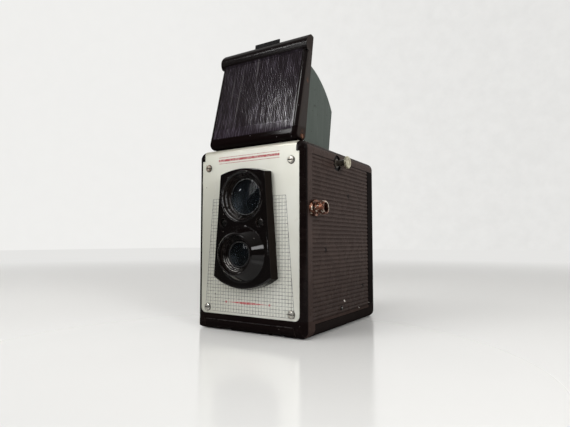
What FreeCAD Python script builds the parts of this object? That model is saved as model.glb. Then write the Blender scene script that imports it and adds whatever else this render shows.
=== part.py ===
import FreeCAD, Part
import math
import operator
import os
from types import SimpleNamespace

import Sketcher

# A twin lens box camera for 120 roll film.
# The origin is the middle of the base, +Z is up and the lenses look along -Y.
# Places along the depth are written from the front face of the moulding, which lies at -body_depth / 2.

SIZES = {
    # moulded body
    "body_width": 84.0,
    "body_depth": 111.6,
    "body_height": 118.6,
    "corner_radius": 5.4,
    "edge_radius": 5.0,
    "wall": 2.6,
    "front_wall": 4.2,
    "top_wall": 3.0,
    "seam_height": 8.0,
    "back_flange": 14.1,
    "strip_height": 7.5,
    "seam_gap": 0.25,
    "knuckle_radius": 6.2,
    "knuckle_gap": 0.35,
    "roll_half": 34.2,
    "roll_line": 0.5,
    # fits
    "fit_gap": 0.05,
    "running_gap": 0.06,
    "loose_gap": 0.4,
    # ribbed side panels
    "panel_start": 9.2,
    "panel_base": 10.0,
    "border_width": 0.9,
    "groove_depth": 0.55,
    "rib_pitch": 2.75,
    "rib_groove_top": 1.5,
    "rib_groove_bottom": 0.4,
    # front plate
    "plate_width": 75.9,
    "plate_thickness": 0.6,
    "plate_recess": 1.1,
    "plate_base": 10.7,
    "plate_tab_width": 71.9,
    "plate_tab_start": 111.7,
    "plate_tab_reach": 6.0,
    "plate_bend": 3.0,
    "plate_corner": 3.5,
    "plate_gap": 0.15,
    "screw_spread": 64.8,
    "screw_top": 106.7,
    "screw_base": 14.5,
    "screw_head": 5.0,
    "screw_crown": 1.1,
    "screw_shank": 2.4,
    "screw_reach": 3.0,
    "screw_slot": 0.7,
    # lens board
    "board_front": 6.2,
    "board_top_half": 17.9,
    "board_base_half": 23.0,
    "board_top": 101.0,
    "board_base": 35.0,
    "board_top_arc": 52.0,
    "board_base_arc": 39.0,
    "board_draft": 8.0,
    "board_edge": 0.7,
    "finder_axis": 85.8,
    "finder_rim": 16.5,
    "finder_rim_rise": 0.5,
    "finder_step": 14.6,
    "finder_bore": 10.75,
    "finder_seat": 1.4,
    "finder_well_lip": 0.8,
    "finder_hole": 11.8,
    "taking_hole": 8.6,
    "taking_axis": 49.7,
    "barrel_foot": 18.75,
    "barrel_rim": 13.25,
    "barrel_front": 13.5,
    "barrel_step": 11.2,
    "barrel_floor": 7.6,
    "taking_bore": 7.0,
    "board_screw_spread": 28.4,
    "board_screw_height": 69.3,
    "board_screw_pit": 2.9,
    "board_screw_pit_depth": 1.6,
    # lenses
    "finder_lens_radius": 11.4,
    "finder_lens_edge": 1.2,
    "finder_lens_bulge": 1.4,
    "finder_ring_width": 0.3,
    "finder_ring_height": 0.5,
    "taking_lens_radius": 7.8,
    "taking_lens_edge": 1.6,
    "taking_lens_bulge": 0.9,
    "taking_ring_width": 0.4,
    "taking_ring_height": 0.6,
    # shutter
    "sheet": 0.8,
    "shutter_plate_half": 27.0,
    "shutter_plate_base": 27.0,
    "shutter_plate_top": 74.0,
    "aperture_radius": 3.6,
    "blade_sheet": 0.4,
    "blade_radius": 19.5,
    "blade_offset": 6.0,
    "blade_drop": 12.7,
    "blade_gap": 0.5,
    "blade_start_angle": 40.0,
    "blade_span_angle": 130.0,
    "blade_window_angle": 105.0,
    "pivot_radius": 1.4,
    "pivot_head": 2.3,
    "pivot_length": 5.2,
    "lever_gap": 1.3,
    "lever_pivot_offset": 24.5,
    "lever_pivot_height": 52.0,
    "lever_width": 6.0,
    "lever_depth": 15.0,
    "lever_reach": 8.2,
    "lever_tab_radius": 4.2,
    "lever_slot_travel": 9.0,
    "time_pivot_height": 64.0,
    "time_width": 4.0,
    "time_reach": 5.5,
    "time_slot_travel": 6.0,
    "spring_wire": 0.5,
    # finder
    "hood_opening_front": 14.2,
    "hood_opening_rear": 66.0,
    "hood_opening_half": 34.3,
    "wing_slot_start": 6.8,
    "wing_slot_width": 1.7,
    "frame_half": 31.0,
    "frame_lap": 2.2,
    "frame_thickness": 0.8,
    "finder_glass_half": 26.5,
    "finder_glass_rim": 2.6,
    "glass_lap": 2.0,
    "finder_glass_crown": 2.6,
    "finder_box_half": 30.0,
    "finder_box_base": 66.0,
    "finder_box_top_drop": 3.8,
    "mirror_thickness": 1.6,
    "mirror_half": 25.0,
    "mirror_setback": 1.5,
    # hood
    "hinge_setback": 9.5,
    "hood_lean": 9.5,
    "lid_half": 35.0,
    "lid_front": 2.2,
    "lid_reach": 71.8,
    "lid_rim": 3.6,
    "lid_crown": 4.1,
    "lid_wall": 1.4,
    "lid_roof": 2.2,
    "lid_hinge_corner": 4.5,
    "lid_free_corner": 2.5,
    "lid_margin": 4.0,
    "lid_side_round": 3.5,
    "lid_height": 7.6,
    "lid_end_height": 2.8,
    "lid_lip": 3.8,
    "lid_lip_level": 4.0,
    "lid_clear": 1.2,
    "lid_bead": 6.4,
    "lid_field_start": 9.5,
    "lid_field_end": 58.0,
    "reed_pitch": 1.35,
    "reed_depth": 0.4,
    "reed_width": 0.65,
    "lid_roll": 6.5,
    "lid_roll_curve": 12.0,
    "wing_sheet": 0.6,
    "wing_drop": 39.2,
    "wing_radius": 51.2,
    "hinge_pin_radius": 1.2,
    "hinge_pin_head": 1.6,
    "hinge_pin_head_height": 0.8,
    "lug_thickness": 1.2,
    "lug_radius": 2.0,
    "lug_clear": 0.3,
    "rivet_radius": 1.5,
    "rivet_height": 0.7,
    "tab_half": 10.0,
    "tab_reach": 73.6,
    "tab_sheet": 0.8,
    "tab_level": 0.6,
    # film path
    "film_plane": 98.0,
    "gate_half": 28.5,
    "cone_front": 16.0,
    "cone_front_half": 8.0,
    "cone_flange_base": 12.0,
    "cone_flange_top": 82.0,
    "spool_flange_radius": 12.6,
    "spool_flange": 1.3,
    "spool_core": 5.8,
    "spool_half": 32.5,
    "spool_bore": 3.0,
    "spool_bore_depth": 5.0,
    "spool_slot": 2.2,
    "takeup_setback": 85.0,
    "takeup_height": 96.0,
    "supply_setback": 60.0,
    "supply_height": 15.9,
    "spool_pin_foot": 5.0,
    "spool_pin_foot_length": 2.0,
    "spool_pin_entry": 2.5,
    # winding
    "knob_radius": 13.0,
    "knob_length": 9.0,
    "knob_gap": 0.5,
    "knob_flute": 0.9,
    "shaft_radius": 2.6,
    "shaft_key": 1.8,
    "bush_radius": 5.5,
    "bush_length": 1.6,
    "ratchet_radius": 7.5,
    "ratchet_length": 1.4,
    "ratchet_tooth": 0.8,
    # side fittings
    "stud_setback": 44.7,
    "stud_height": 110.0,
    "stud_head": 4.15,
    "stud_head_length": 1.6,
    "stud_reach": 8.2,
    "stud_shank": 2.1,
    "stud_pit": 5.3,
    "stud_dimple": 0.5,
    "terminal_setback": 9.8,
    "terminal_height": 77.8,
    "terminal_collar": 4.9,
    "terminal_collar_length": 2.4,
    "terminal_neck": 3.3,
    "terminal_neck_length": 1.2,
    "terminal_end": 4.0,
    "terminal_reach": 9.0,
    "terminal_bore": 3.0,
    "terminal_bore_depth": 5.0,
    "terminal_shank": 2.6,
    "terminal_pin": 0.9,
    "contact_length": 9.0,
    "side_rivet_setback": 49.8,
    "side_rivet_height": 13.2,
    "side_rivet_radius": 1.3,
    # back cover
    "back_swing_lug": 4.1,
    "back_lug_inner": 15.0,
    "back_lug_outer": 25.0,
    "back_pin_radius": 1.0,
    "lug_web": 4.6,
    "window_radius": 5.0,
    "window_lip": 2.0,
    "window_thickness": 1.6,
    "pressure_half": 31.0,
    "pressure_stand": 0.6,
    "pressure_spring_width": 10.0,
    "pressure_spring_offset": 19.0,
    "pressure_spring_chord": 27.0,
    "latch_arm": 9.5,
    "latch_width": 5.0,
    "latch_sheet": 1.0,
    "latch_screw_head": 2.0,
}

doc = FreeCAD.newDocument("box_camera")
sheet = doc.addObject("Spreadsheet::Sheet", "Sizes")


class Size:
    """A value of the sheet, or a sum made of such values, kept as a formula and as its present number."""

    def __init__(self, formula, number):
        self.formula = formula
        self.number = number

    def __add__(self, other):
        return joined(self, "+", other)

    def __radd__(self, other):
        return joined(other, "+", self)

    def __sub__(self, other):
        return joined(self, "-", other)

    def __rsub__(self, other):
        return joined(other, "-", self)

    def __mul__(self, other):
        return joined(self, "*", other)

    def __rmul__(self, other):
        return joined(other, "*", self)

    def __truediv__(self, other):
        return joined(self, "/", other)

    def __neg__(self):
        return joined(0, "-", self)

    def __float__(self):
        return self.number


def size(value):
    return value if isinstance(value, Size) else Size(repr(float(value)), float(value))


def joined(left, sign, right):
    """Two sizes joined by an arithmetic sign."""
    work = {"+": operator.add, "-": operator.sub, "*": operator.mul, "/": operator.truediv}
    left, right = size(left), size(right)
    return Size(f"({left.formula} {sign} {right.formula})", work[sign](left.number, right.number))


def root(value):
    return Size(f"sqrt({value.formula})", math.sqrt(value.number))


def sine(angle):
    return Size(f"sin({angle.formula})", math.sin(math.radians(angle.number)))


def cosine(angle):
    return Size(f"cos({angle.formula})", math.cos(math.radians(angle.number)))


def arcsine(ratio):
    return Size(f"asin({ratio.formula})", math.degrees(math.asin(ratio.number)))


def fill_sheet():
    """Every driving dimension in its own named cell."""
    for row, (name, value) in enumerate(SIZES.items(), start=1):
        sheet.set(f"A{row}", name)
        sheet.set(f"B{row}", str(value))
        sheet.setAlias(f"B{row}", name)
    doc.recompute()


fill_sheet()
s = SimpleNamespace(**{name: Size("Sizes." + name, value) for name, value in SIZES.items()})

ORIGIN = FreeCAD.Vector(0, 0, 0)
AXES = {
    "X": FreeCAD.Rotation(FreeCAD.Vector(0, 1, 0), 90),
    "-X": FreeCAD.Rotation(FreeCAD.Vector(0, 1, 0), -90),
    "Y": FreeCAD.Rotation(FreeCAD.Vector(1, 0, 0), -90),
    "-Y": FreeCAD.Rotation(FreeCAD.Vector(1, 0, 0), 90),
    "Z": FreeCAD.Rotation(),
}
SIDES = (-1, 1)
SPRING_TURNS = 3
KNOB_FLUTES = 30
RATCHET_TEETH = 16
WELL_STEPS = 4
PAST = 1.0  # how far a cutting shape runs past the solid
nodes = []


# ---- binding, sketching and features ------------------------------------------------------------------------------


def bind(thing, place, value):
    thing.setExpression(place, size(value).formula)


def put(thing, at, turn=None):
    """Places a thing at three sizes, turned by a fixed rotation."""
    thing.Placement = FreeCAD.Placement(ORIGIN, turn or FreeCAD.Rotation())
    for letter, value in zip("xyz", at):
        bind(thing, "Placement.Base." + letter, value)
    return thing


def node(thing, label):
    """Marks a thing as one sub-part: its label names its file."""
    thing.Label = label
    nodes.append(thing)
    return thing


class Arc(tuple):
    """A corner reached along an arc: (across, up, radius, turn), where turn is 1 anticlockwise and -1 clockwise."""


def draw_loop(sketch, corners):
    """Draws a closed outline whose corners are pairs of sizes or Arcs."""
    points = [(float(corner[0]), float(corner[1])) for corner in corners]
    base = sketch.GeometryCount
    rules = []
    ends = []
    for i, corner in enumerate(corners):
        start, end = points[i - 1], points[i]
        if isinstance(corner, Arc):
            radius, turn = corner[2], corner[3]
            chord = math.dist(start, end)
            rise = math.sqrt(max(float(radius) ** 2 - chord**2 / 4, 0.0)) * turn
            centre = (
                (start[0] + end[0]) / 2 - (end[1] - start[1]) / chord * rise,
                (start[1] + end[1]) / 2 + (end[0] - start[0]) / chord * rise,
            )
            angles = [math.atan2(p[1] - centre[1], p[0] - centre[0]) for p in (start, end)]
            first, last = angles if turn > 0 else reversed(angles)
            circle = Part.Circle(FreeCAD.Vector(*centre, 0), FreeCAD.Vector(0, 0, 1), float(radius))
            sketch.addGeometry(Part.ArcOfCircle(circle, first, last if last > first else last + 2 * math.pi))
            rules.append((Sketcher.Constraint("Radius", base + i, float(radius)), radius))
            ends.append((1, 2) if turn > 0 else (2, 1))
        else:
            sketch.addGeometry(Part.LineSegment(FreeCAD.Vector(*start, 0), FreeCAD.Vector(*end, 0)))
            ends.append((1, 2))
    for i, corner in enumerate(corners):
        after = (i + 1) % len(corners)
        pair = (base + i, ends[i][1], base + after, ends[after][0])
        rules.append((Sketcher.Constraint("Coincident", *pair), None))
        for kind, value in zip(("DistanceX", "DistanceY"), corner[:2]):
            rule = Sketcher.Constraint(kind, -1, 1, base + i, ends[i][1], float(value))
            rules.append((rule, value))
    add_rules(sketch, rules)


def draw_circle(sketch, across, up, radius):
    """Draws a circle about a centre given by two sizes."""
    index = sketch.GeometryCount
    centre = FreeCAD.Vector(float(across), float(up), 0)
    sketch.addGeometry(Part.Circle(centre, FreeCAD.Vector(0, 0, 1), float(radius)))
    rules = [(Sketcher.Constraint("Radius", index, float(radius)), radius)]
    for kind, value in (("DistanceX", across), ("DistanceY", up)):
        rules.append((Sketcher.Constraint(kind, -1, 1, index, 3, float(value)), value))
    add_rules(sketch, rules)


def add_rules(sketch, rules):
    """Adds constraints, and binds each one that has a size to it."""
    first = sketch.ConstraintCount
    sketch.addConstraint([rule for rule, value in rules])
    for i, (rule, value) in enumerate(rules):
        if value is not None:
            bind(sketch, f"Constraints[{first + i}]", value)


def origin_part(body, role):
    return next(part for part in body.Origin.OriginFeatures if part.Role == role)


def sketch_on(body, plane, offset, *shapes):
    """A sketch on a plane of the body's own origin; a shape is a list of corners or a circle's three sizes."""
    sketch = body.newObject("Sketcher::SketchObject", body.Label + "_outline")
    sketch.AttachmentSupport = [(origin_part(body, plane + "_Plane"), "")]
    sketch.MapMode = "FlatFace"
    bind(sketch, "AttachmentOffset.Base.z", offset)
    for shape in shapes:
        if isinstance(shape, list):
            draw_loop(sketch, shape)
        else:
            draw_circle(sketch, *shape)
    sketch.Visibility = False
    return sketch


def new_body(label, at=(0, 0, 0), turn=None):
    body = doc.addObject("PartDesign::Body", label)
    body.AllowCompound = True
    put(body, at, turn)
    return node(body, label)


def pad(body, sketch, length, forward=True, taper=0, both=False):
    """Pads a sketch along its normal, against it, or to both sides alike."""
    feature = body.newObject("PartDesign::Pad", body.Label + "_pad")
    feature.Profile = sketch
    bind(feature, "Length", length)
    feature.Reversed = not forward
    if both:
        feature.SideType = "Symmetric"
    if taper:
        bind(feature, "TaperAngle", taper)
    return feature


def pocket(body, sketch, length, forward=False, both=False):
    """Cuts a sketch against its normal, along it, or to both sides alike."""
    feature = body.newObject("PartDesign::Pocket", body.Label + "_pocket")
    feature.Profile = sketch
    bind(feature, "Length", length)
    feature.Reversed = forward
    if both:
        feature.SideType = "Symmetric"
    return feature


def revolve(body, sketch, kind="PartDesign::Revolution", axis="H_Axis"):
    """Turns a sketch through a full circle about its own horizontal axis, or about its first construction line."""
    feature = body.newObject(kind, body.Label + "_turned")
    feature.Profile = sketch
    feature.ReferenceAxis = (sketch, [axis])
    feature.Angle = 360
    return feature


def turned_at(body, height, profile, kind="PartDesign::Revolution"):
    """Turns a profile of (depth, radius) corners about a line along Y at a height."""
    sketch = sketch_on(body, "YZ", 0)
    index = sketch.GeometryCount
    ends = [FreeCAD.Vector(float(front) - reach, float(height), 0) for reach in (PAST, 0)]
    sketch.addGeometry(Part.LineSegment(*ends), True)
    rules = []
    for place, across in ((1, front - PAST), (2, front)):
        rules.append((Sketcher.Constraint("DistanceX", -1, 1, index, place, float(across)), across))
        rules.append((Sketcher.Constraint("DistanceY", -1, 1, index, place, float(height)), height))
    add_rules(sketch, rules)
    lifted = [
        Arc((corner[0], height + corner[1], *corner[2:])) if isinstance(corner, Arc) else (corner[0], height + corner[1])
        for corner in profile
    ]
    draw_loop(sketch, lifted)
    return revolve(body, sketch, kind, "Axis0")


def repeat(body, feature, axis, pitch, count):
    """Repeats a feature along an axis of the body's origin."""
    pattern = body.newObject("PartDesign::LinearPattern", body.Label + "_row")
    pattern.Originals = [feature]
    pattern.Direction = (origin_part(body, axis + "_Axis"), [""])
    pattern.Mode = "Spacing"
    bind(pattern, "Offset", pitch)
    pattern.Occurrences = count
    body.Tip = pattern
    return pattern


def repeat_round(body, feature, axis, count):
    """Repeats a feature round an axis of the body's origin."""
    pattern = body.newObject("PartDesign::PolarPattern", body.Label + "_ring")
    pattern.Originals = [feature]
    pattern.Axis = (origin_part(body, axis + "_Axis"), [""])
    pattern.Angle = 360
    pattern.Occurrences = count
    body.Tip = pattern
    return pattern


def mirror(body, feature, plane="YZ"):
    """Repeats a feature on the other side of a plane of the body's origin."""
    copy = body.newObject("PartDesign::Mirrored", body.Label + "_mirror")
    copy.Originals = [feature]
    copy.MirrorPlane = (origin_part(body, plane + "_Plane"), [""])
    body.Tip = copy
    return copy


def fillet(body, radius, wanted):
    """Rounds the edges of the body's last shape whose middle and ends satisfy a test."""
    doc.recompute()
    base = body.Tip
    names = [
        f"Edge{i}"
        for i, edge in enumerate(base.Shape.Edges, start=1)
        if wanted(edge.CenterOfMass, edge.BoundBox)
    ]
    feature = body.newObject("PartDesign::Fillet", body.Label + "_round")
    feature.Base = (base, names)
    bind(feature, "Radius", radius)
    return feature


def near(value, wanted, tolerance=0.02):
    return abs(value - float(wanted)) < tolerance


def rectangle(left, right, low, high):
    return [(left, low), (right, low), (right, high), (left, high)]


def rounded(left, right, low, high, *radii):
    """A rectangle with rounded corners; the radii start at the low left corner and go round, or one serves all."""
    a, b, c, d = radii * 4 if len(radii) == 1 else radii
    return [
        Arc((left + a, low, a, 1)),
        (right - b, low),
        Arc((right, low + b, b, 1)),
        (right, high - c),
        Arc((right - c, high, c, 1)),
        (left + d, high),
        Arc((left, high - d, d, 1)),
        (left, low + a),
    ]


# ---- places that several pieces share -------------------------------------------------------------------------------

front = -s.body_depth / 2
rear = s.body_depth / 2
side = s.body_width / 2
inner_side = side - s.wall
strip_base = s.body_height - s.strip_height
latch_height = strip_base + s.latch_width / 2
seam_y = rear - s.back_flange
inner_rear = rear - s.wall
hinge_y = front + s.hinge_setback
hinge_z = s.body_height + s.lid_rim + s.lug_clear
lid_ceiling = s.lid_crown - s.lid_roof
knuckle_y = front + s.knuckle_radius
knuckle_z = s.knuckle_radius
knee = 2 * s.knuckle_radius + s.border_width
plate_back = front + s.plate_recess
plate_face = plate_back - s.plate_thickness
board_face = front - s.board_front
wall_inside = front + s.front_wall
opening_front = front + s.hood_opening_front
opening_rear = front + s.hood_opening_rear
lid_turn = 90 - s.hood_lean
shank = s.screw_shank / 2
screw_spots = [
    (side * s.screw_spread / 2, height) for height in (s.screw_base, s.screw_top) for side in SIDES
]
board_spots = [(side * s.board_screw_spread / 2, s.board_screw_height) for side in SIDES]
takeup_y = front + s.takeup_setback
supply_y = front + s.supply_setback
blade_pivot = (-s.blade_offset, s.taking_axis - s.blade_drop)
lever_pivot = (-s.lever_pivot_offset, s.lever_pivot_height)
time_pivot = (-s.lever_pivot_offset, s.time_pivot_height)


# ---- the moulded body -----------------------------------------------------------------------------------------------


def cut_ribs(body):
    """The side panels: a border line on three sides of each, and a row of grooves that leaves rounded ribs."""
    start, border = front + s.panel_start, s.border_width
    for hand in SIDES:
        outline = [
            (start, s.panel_base),
            (seam_y + PAST, s.panel_base),
            (seam_y + PAST, strip_base),
            (start, strip_base),
            (start, strip_base - border),
            (seam_y - border, strip_base - border),
            (seam_y - border, s.panel_base + border),
            (start, s.panel_base + border),
        ]
        pocket(body, sketch_on(body, "YZ", hand * side, outline), s.groove_depth, forward=hand < 0)
    middle = s.panel_base + border + s.rib_pitch / 2
    low, high = s.rib_groove_bottom / 2, s.rib_groove_top / 2
    grooves = []
    for hand in SIDES:
        bottom, top, out = (hand * (side + step) for step in (-s.groove_depth, 0, PAST))
        grooves.append(
            [
                (bottom, middle - low),
                (top, middle - high),
                (out, middle - high),
                (out, middle + high),
                (top, middle + high),
                (bottom, middle + low),
            ]
        )
    sketch = sketch_on(body, "XZ", -start, *grooves)
    first = pocket(body, sketch, seam_y - start - border)
    count = int(float((strip_base - s.panel_base - 2 * border) / s.rib_pitch))
    repeat(body, first, "Z", s.rib_pitch, count)


def cut_side_holes(body):
    """Holes and pits for the studs, the flash terminal, the winder and the shutter's two levers."""
    stud = (front + s.stud_setback, s.stud_height)
    terminal = (front + s.terminal_setback, s.terminal_height)
    rivet = (front + s.side_rivet_setback, s.side_rivet_height)
    for hand in SIDES:
        pit = sketch_on(body, "YZ", hand * side, (*stud, s.stud_pit))
        pocket(body, pit, s.border_width, forward=hand < 0)
        holes = [(*stud, s.stud_shank + s.fit_gap), (*rivet, s.side_rivet_radius + s.fit_gap)]
        if hand > 0:
            holes.append((*terminal, s.terminal_shank + s.fit_gap))
        else:
            holes.append((takeup_y, s.takeup_height, s.bush_radius + s.fit_gap))
            holes.extend([slot_outline("lever"), slot_outline("time")])
        drilled = sketch_on(body, "YZ", hand * side, *holes)
        pocket(body, drilled, s.wall + PAST, forward=hand < 0)


def slot_outline(which):
    """The slot in the side wall through which one of the shutter's levers reaches out."""
    width, travel, pivot = {
        "lever": (s.lever_width, s.lever_slot_travel, lever_pivot),
        "time": (s.time_width, s.time_slot_travel, time_pivot),
    }[which]
    middle = front + s.lever_depth
    half = s.sheet / 2 + s.loose_gap
    top = pivot[1] + width / 2 + s.loose_gap
    return rectangle(middle - half, middle + half, top - width - travel, top)


def cut_front(body):
    """The shallow bed of the front plate, its holes, and the rounded edge that the plate's tab goes over."""
    half = s.plate_width / 2 + s.plate_gap
    tab = s.plate_tab_width / 2 + s.plate_gap
    base, shoulder, over = s.plate_base - s.plate_gap, s.plate_tab_start + s.plate_gap, s.body_height + PAST
    bed = [
        Arc((s.plate_corner - half, base, s.plate_corner, 1)),
        (half - s.plate_corner, base),
        Arc((half, base + s.plate_corner, s.plate_corner, 1)),
        (half, shoulder),
        (tab, shoulder),
        (tab, over),
        (-tab, over),
        (-tab, shoulder),
        (-half, shoulder),
        (-half, base + s.plate_corner),
    ]
    pocket(body, sketch_on(body, "XZ", -front, bed), s.plate_recess)
    bend = s.plate_bend - s.plate_thickness
    under = s.body_height - s.plate_thickness
    reach = front + s.plate_tab_reach + s.plate_gap
    edge = [
        (plate_back, shoulder),
        (plate_back, under - bend),
        Arc((plate_back + bend, under, bend, -1)),
        (reach, under),
        (reach, over),
        (front - PAST, over),
        (front - PAST, shoulder),
    ]
    pocket(body, sketch_on(body, "YZ", 0, edge), 2 * tab, both=True)
    holes = [(0, s.finder_axis, s.finder_hole), (0, s.taking_axis, s.taking_hole)]
    pocket(body, sketch_on(body, "XZ", -front, *holes), s.front_wall + PAST)
    threads = [(across, up, shank) for across, up in screw_spots + board_spots]
    pocket(body, sketch_on(body, "XZ", -front, *threads), s.plate_recess + s.screw_reach)


def cut_roof(body):
    """The finder's opening, the slots beside it that the hood's wings drop into, and the frame's rebate."""
    half, slot, start = s.hood_opening_half, s.wing_slot_width, front + s.wing_slot_start
    opening = [
        (-half, start),
        (slot - half, start),
        (slot - half, opening_front),
        (half - slot, opening_front),
        (half - slot, start),
        (half, start),
        (half, opening_rear),
        (-half, opening_rear),
    ]
    pocket(body, sketch_on(body, "XY", s.body_height, opening), s.top_wall + PAST)
    lap = s.frame_lap + s.fit_gap
    edge = s.frame_half + s.fit_gap
    rebate = rectangle(-edge, edge, opening_front - lap, opening_rear + lap)
    pocket(body, sketch_on(body, "XY", s.body_height, rebate), s.frame_thickness)


def add_hood_lugs(body):
    """Two upstands beside the finder that carry the hood's hinge pins."""
    radius = s.lug_radius
    lug = [
        (hinge_y + radius, s.body_height - s.frame_thickness),
        (hinge_y + radius, hinge_z),
        Arc((hinge_y, hinge_z + radius, radius, 1)),
        Arc((hinge_y - radius, hinge_z, radius, 1)),
        (hinge_y - radius, s.body_height - s.frame_thickness),
    ]
    made = pad(body, sketch_on(body, "YZ", lug_inner, lug), s.lug_thickness)
    mirror(body, made)
    pin = sketch_on(body, "YZ", 0, (hinge_y, hinge_z, s.hinge_pin_radius))
    pocket(body, pin, 2 * (lug_inner + s.lug_thickness + PAST), both=True)


def body_shell():
    """The moulding: front, sides and roof in one; the back and the underside are open."""
    body = new_body("body_shell")
    plan = rounded(-side, side, front, rear, s.corner_radius)
    pad(body, sketch_on(body, "XY", 0, plan), s.body_height)
    fillet(body, s.edge_radius, lambda middle, box: near(box.ZMin, s.body_height))
    step = s.seam_height - knuckle_z
    cheek = knuckle_y + root(s.knuckle_radius * s.knuckle_radius - step * step)
    outside = [
        (front - PAST, -PAST),
        (rear + PAST, -PAST),
        (rear + PAST, strip_base),
        (seam_y, strip_base),
        (seam_y, s.seam_height),
        (cheek, s.seam_height),
        Arc((knuckle_y, 0, s.knuckle_radius, -1)),
        Arc((front, knuckle_z, s.knuckle_radius, -1)),
        (front - PAST, knuckle_z),
    ]
    pocket(body, sketch_on(body, "YZ", 0, outside), s.body_width + PAST, both=True)
    round_lower_corners(body)
    inside = [
        (wall_inside, knee),
        (front + knee, knee),
        (front + knee, -PAST),
        (inner_rear, -PAST),
        (inner_rear, s.body_height - s.top_wall),
        (wall_inside, s.body_height - s.top_wall),
    ]
    pocket(body, sketch_on(body, "YZ", 0, inside), 2 * inner_side, both=True)
    cut_ribs(body)
    cut_side_holes(body)
    cut_front(body)
    cut_roof(body)
    add_hood_lugs(body)
    cut_knuckle(body)
    cut_roll(body)
    return body


def round_lower_corners(body):
    """Rounds the front rail's two lower corners as the base behind it is rounded."""
    radius = s.edge_radius
    for hand in SIDES:
        corner = [
            (hand * (side - radius), -PAST),
            (hand * (side - radius), 0),
            Arc((hand * side, radius, radius, hand)),
            (hand * (side + PAST), radius),
            (hand * (side + PAST), -PAST),
        ]
        pocket(body, sketch_on(body, "XZ", PAST - front, corner), s.body_depth)


def cut_roll(body):
    """The line that parts the front rail's long roll from the wall above it and from the block at each end."""
    line, half, top = s.roll_line, s.roll_half, knuckle_z + s.roll_line
    above = rectangle(-half - line, half + line, top, top + line)
    pocket(body, sketch_on(body, "XZ", -front, above), s.groove_depth)
    inner = s.knuckle_radius - s.groove_depth
    end = [
        (front + s.groove_depth, top + line),
        (front + s.groove_depth, knuckle_z),
        Arc((knuckle_y, s.groove_depth, inner, 1)),
        (knuckle_y, -PAST),
        (front - PAST, -PAST),
        (front - PAST, top + line),
    ]
    for hand in SIDES:
        pocket(body, sketch_on(body, "YZ", hand * (half + line / 2), end), line, both=True)


def cut_knuckle(body):
    """The notches in the front rail that take the back cover's lugs, and the hole of their pin."""
    inner, outer = s.back_lug_inner - s.loose_gap, s.back_lug_outer + s.loose_gap
    lip = front + s.knuckle_radius - s.back_swing_lug - s.knuckle_gap
    notches = [
        rectangle(*sorted((hand * inner, hand * outer), key=float), lip, front + knee + PAST) for hand in SIDES
    ]
    pocket(body, sketch_on(body, "XY", 0, *notches), knee, forward=True)
    pin = sketch_on(body, "YZ", 0, (knuckle_y, knuckle_z, s.back_pin_radius))
    pocket(body, pin, 2 * inner_side, both=True)
    screw = sketch_on(body, "XZ", -rear, (0, latch_height, shank))
    pocket(body, screw, s.wall + PAST, forward=True)


# ---- the front ------------------------------------------------------------------------------------------------------


def front_plate():
    """The bright sheet on the front, whose narrower tab is rolled over the top edge."""
    body = new_body("front_plate")
    top = s.body_height
    under = top - s.plate_thickness
    bend = s.plate_bend - s.plate_thickness
    reach = front + s.plate_tab_reach
    strip = [
        (plate_back, s.plate_base),
        (plate_back, under - bend),
        Arc((plate_back + bend, under, bend, -1)),
        (reach, under),
        (reach, top),
        (plate_back + bend, top),
        Arc((plate_face, under - bend, s.plate_bend, 1)),
        (plate_face, s.plate_base),
    ]
    pad(body, sketch_on(body, "YZ", 0, strip), s.plate_width, both=True)
    half, tab = s.plate_width / 2, s.plate_tab_width / 2
    corners = [
        rectangle(*sorted((hand * tab, hand * (half + PAST)), key=float), s.plate_tab_start, top + PAST)
        for hand in SIDES
    ]
    notch = sketch_on(body, "XZ", PAST - front, *corners)
    pocket(body, notch, s.plate_tab_reach + 2 * PAST)
    holes = [(0, s.finder_axis, s.finder_hole), (0, s.taking_axis, s.taking_hole)]
    holes.extend((across, up, shank + s.fit_gap) for across, up in screw_spots + board_spots)
    pocket(body, sketch_on(body, "XZ", PAST - front, *holes), s.plate_recess + 2 * PAST)
    fillet(
        body,
        s.plate_corner,
        lambda middle, box: near(abs(middle.x), half) and near(middle.z, s.plate_base) and box.XLength < PAST,
    )


def screws(label, face, spots, head, crown, reach, out=1):
    """A set of slotted screws driven into a face across Y; out is 1 where the heads look along -Y."""
    body = new_body(label)
    face_sketch = sketch_on(body, "XZ", -face, *[(across, up, head) for across, up in spots])
    pad(body, face_sketch, crown, forward=out > 0)
    top = face - out * crown
    fillet(body, crown - s.fit_gap, lambda middle, box: near(middle.y, top) and near(box.YLength, 0))
    stems = sketch_on(body, "XZ", -face, *[(across, up, shank) for across, up in spots])
    pad(body, stems, reach, forward=out < 0)
    half, length = s.screw_slot / 2, head + PAST
    slots = [rectangle(across - length, across + length, up - half, up + half) for across, up in spots]
    pocket(body, sketch_on(body, "XZ", -top, *slots), crown / 2, forward=out < 0)
    return body


def steps(start, end, outer, inner):
    """The profile of a well that narrows in even steps from its mouth to the lens seat."""
    riser, tread = (end - start) / WELL_STEPS, (outer - inner) / WELL_STEPS
    points = []
    for step in range(WELL_STEPS):
        points += [(start + riser * step, outer - tread * step), (start + riser * (step + 1), outer - tread * step)]
    return points


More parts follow.
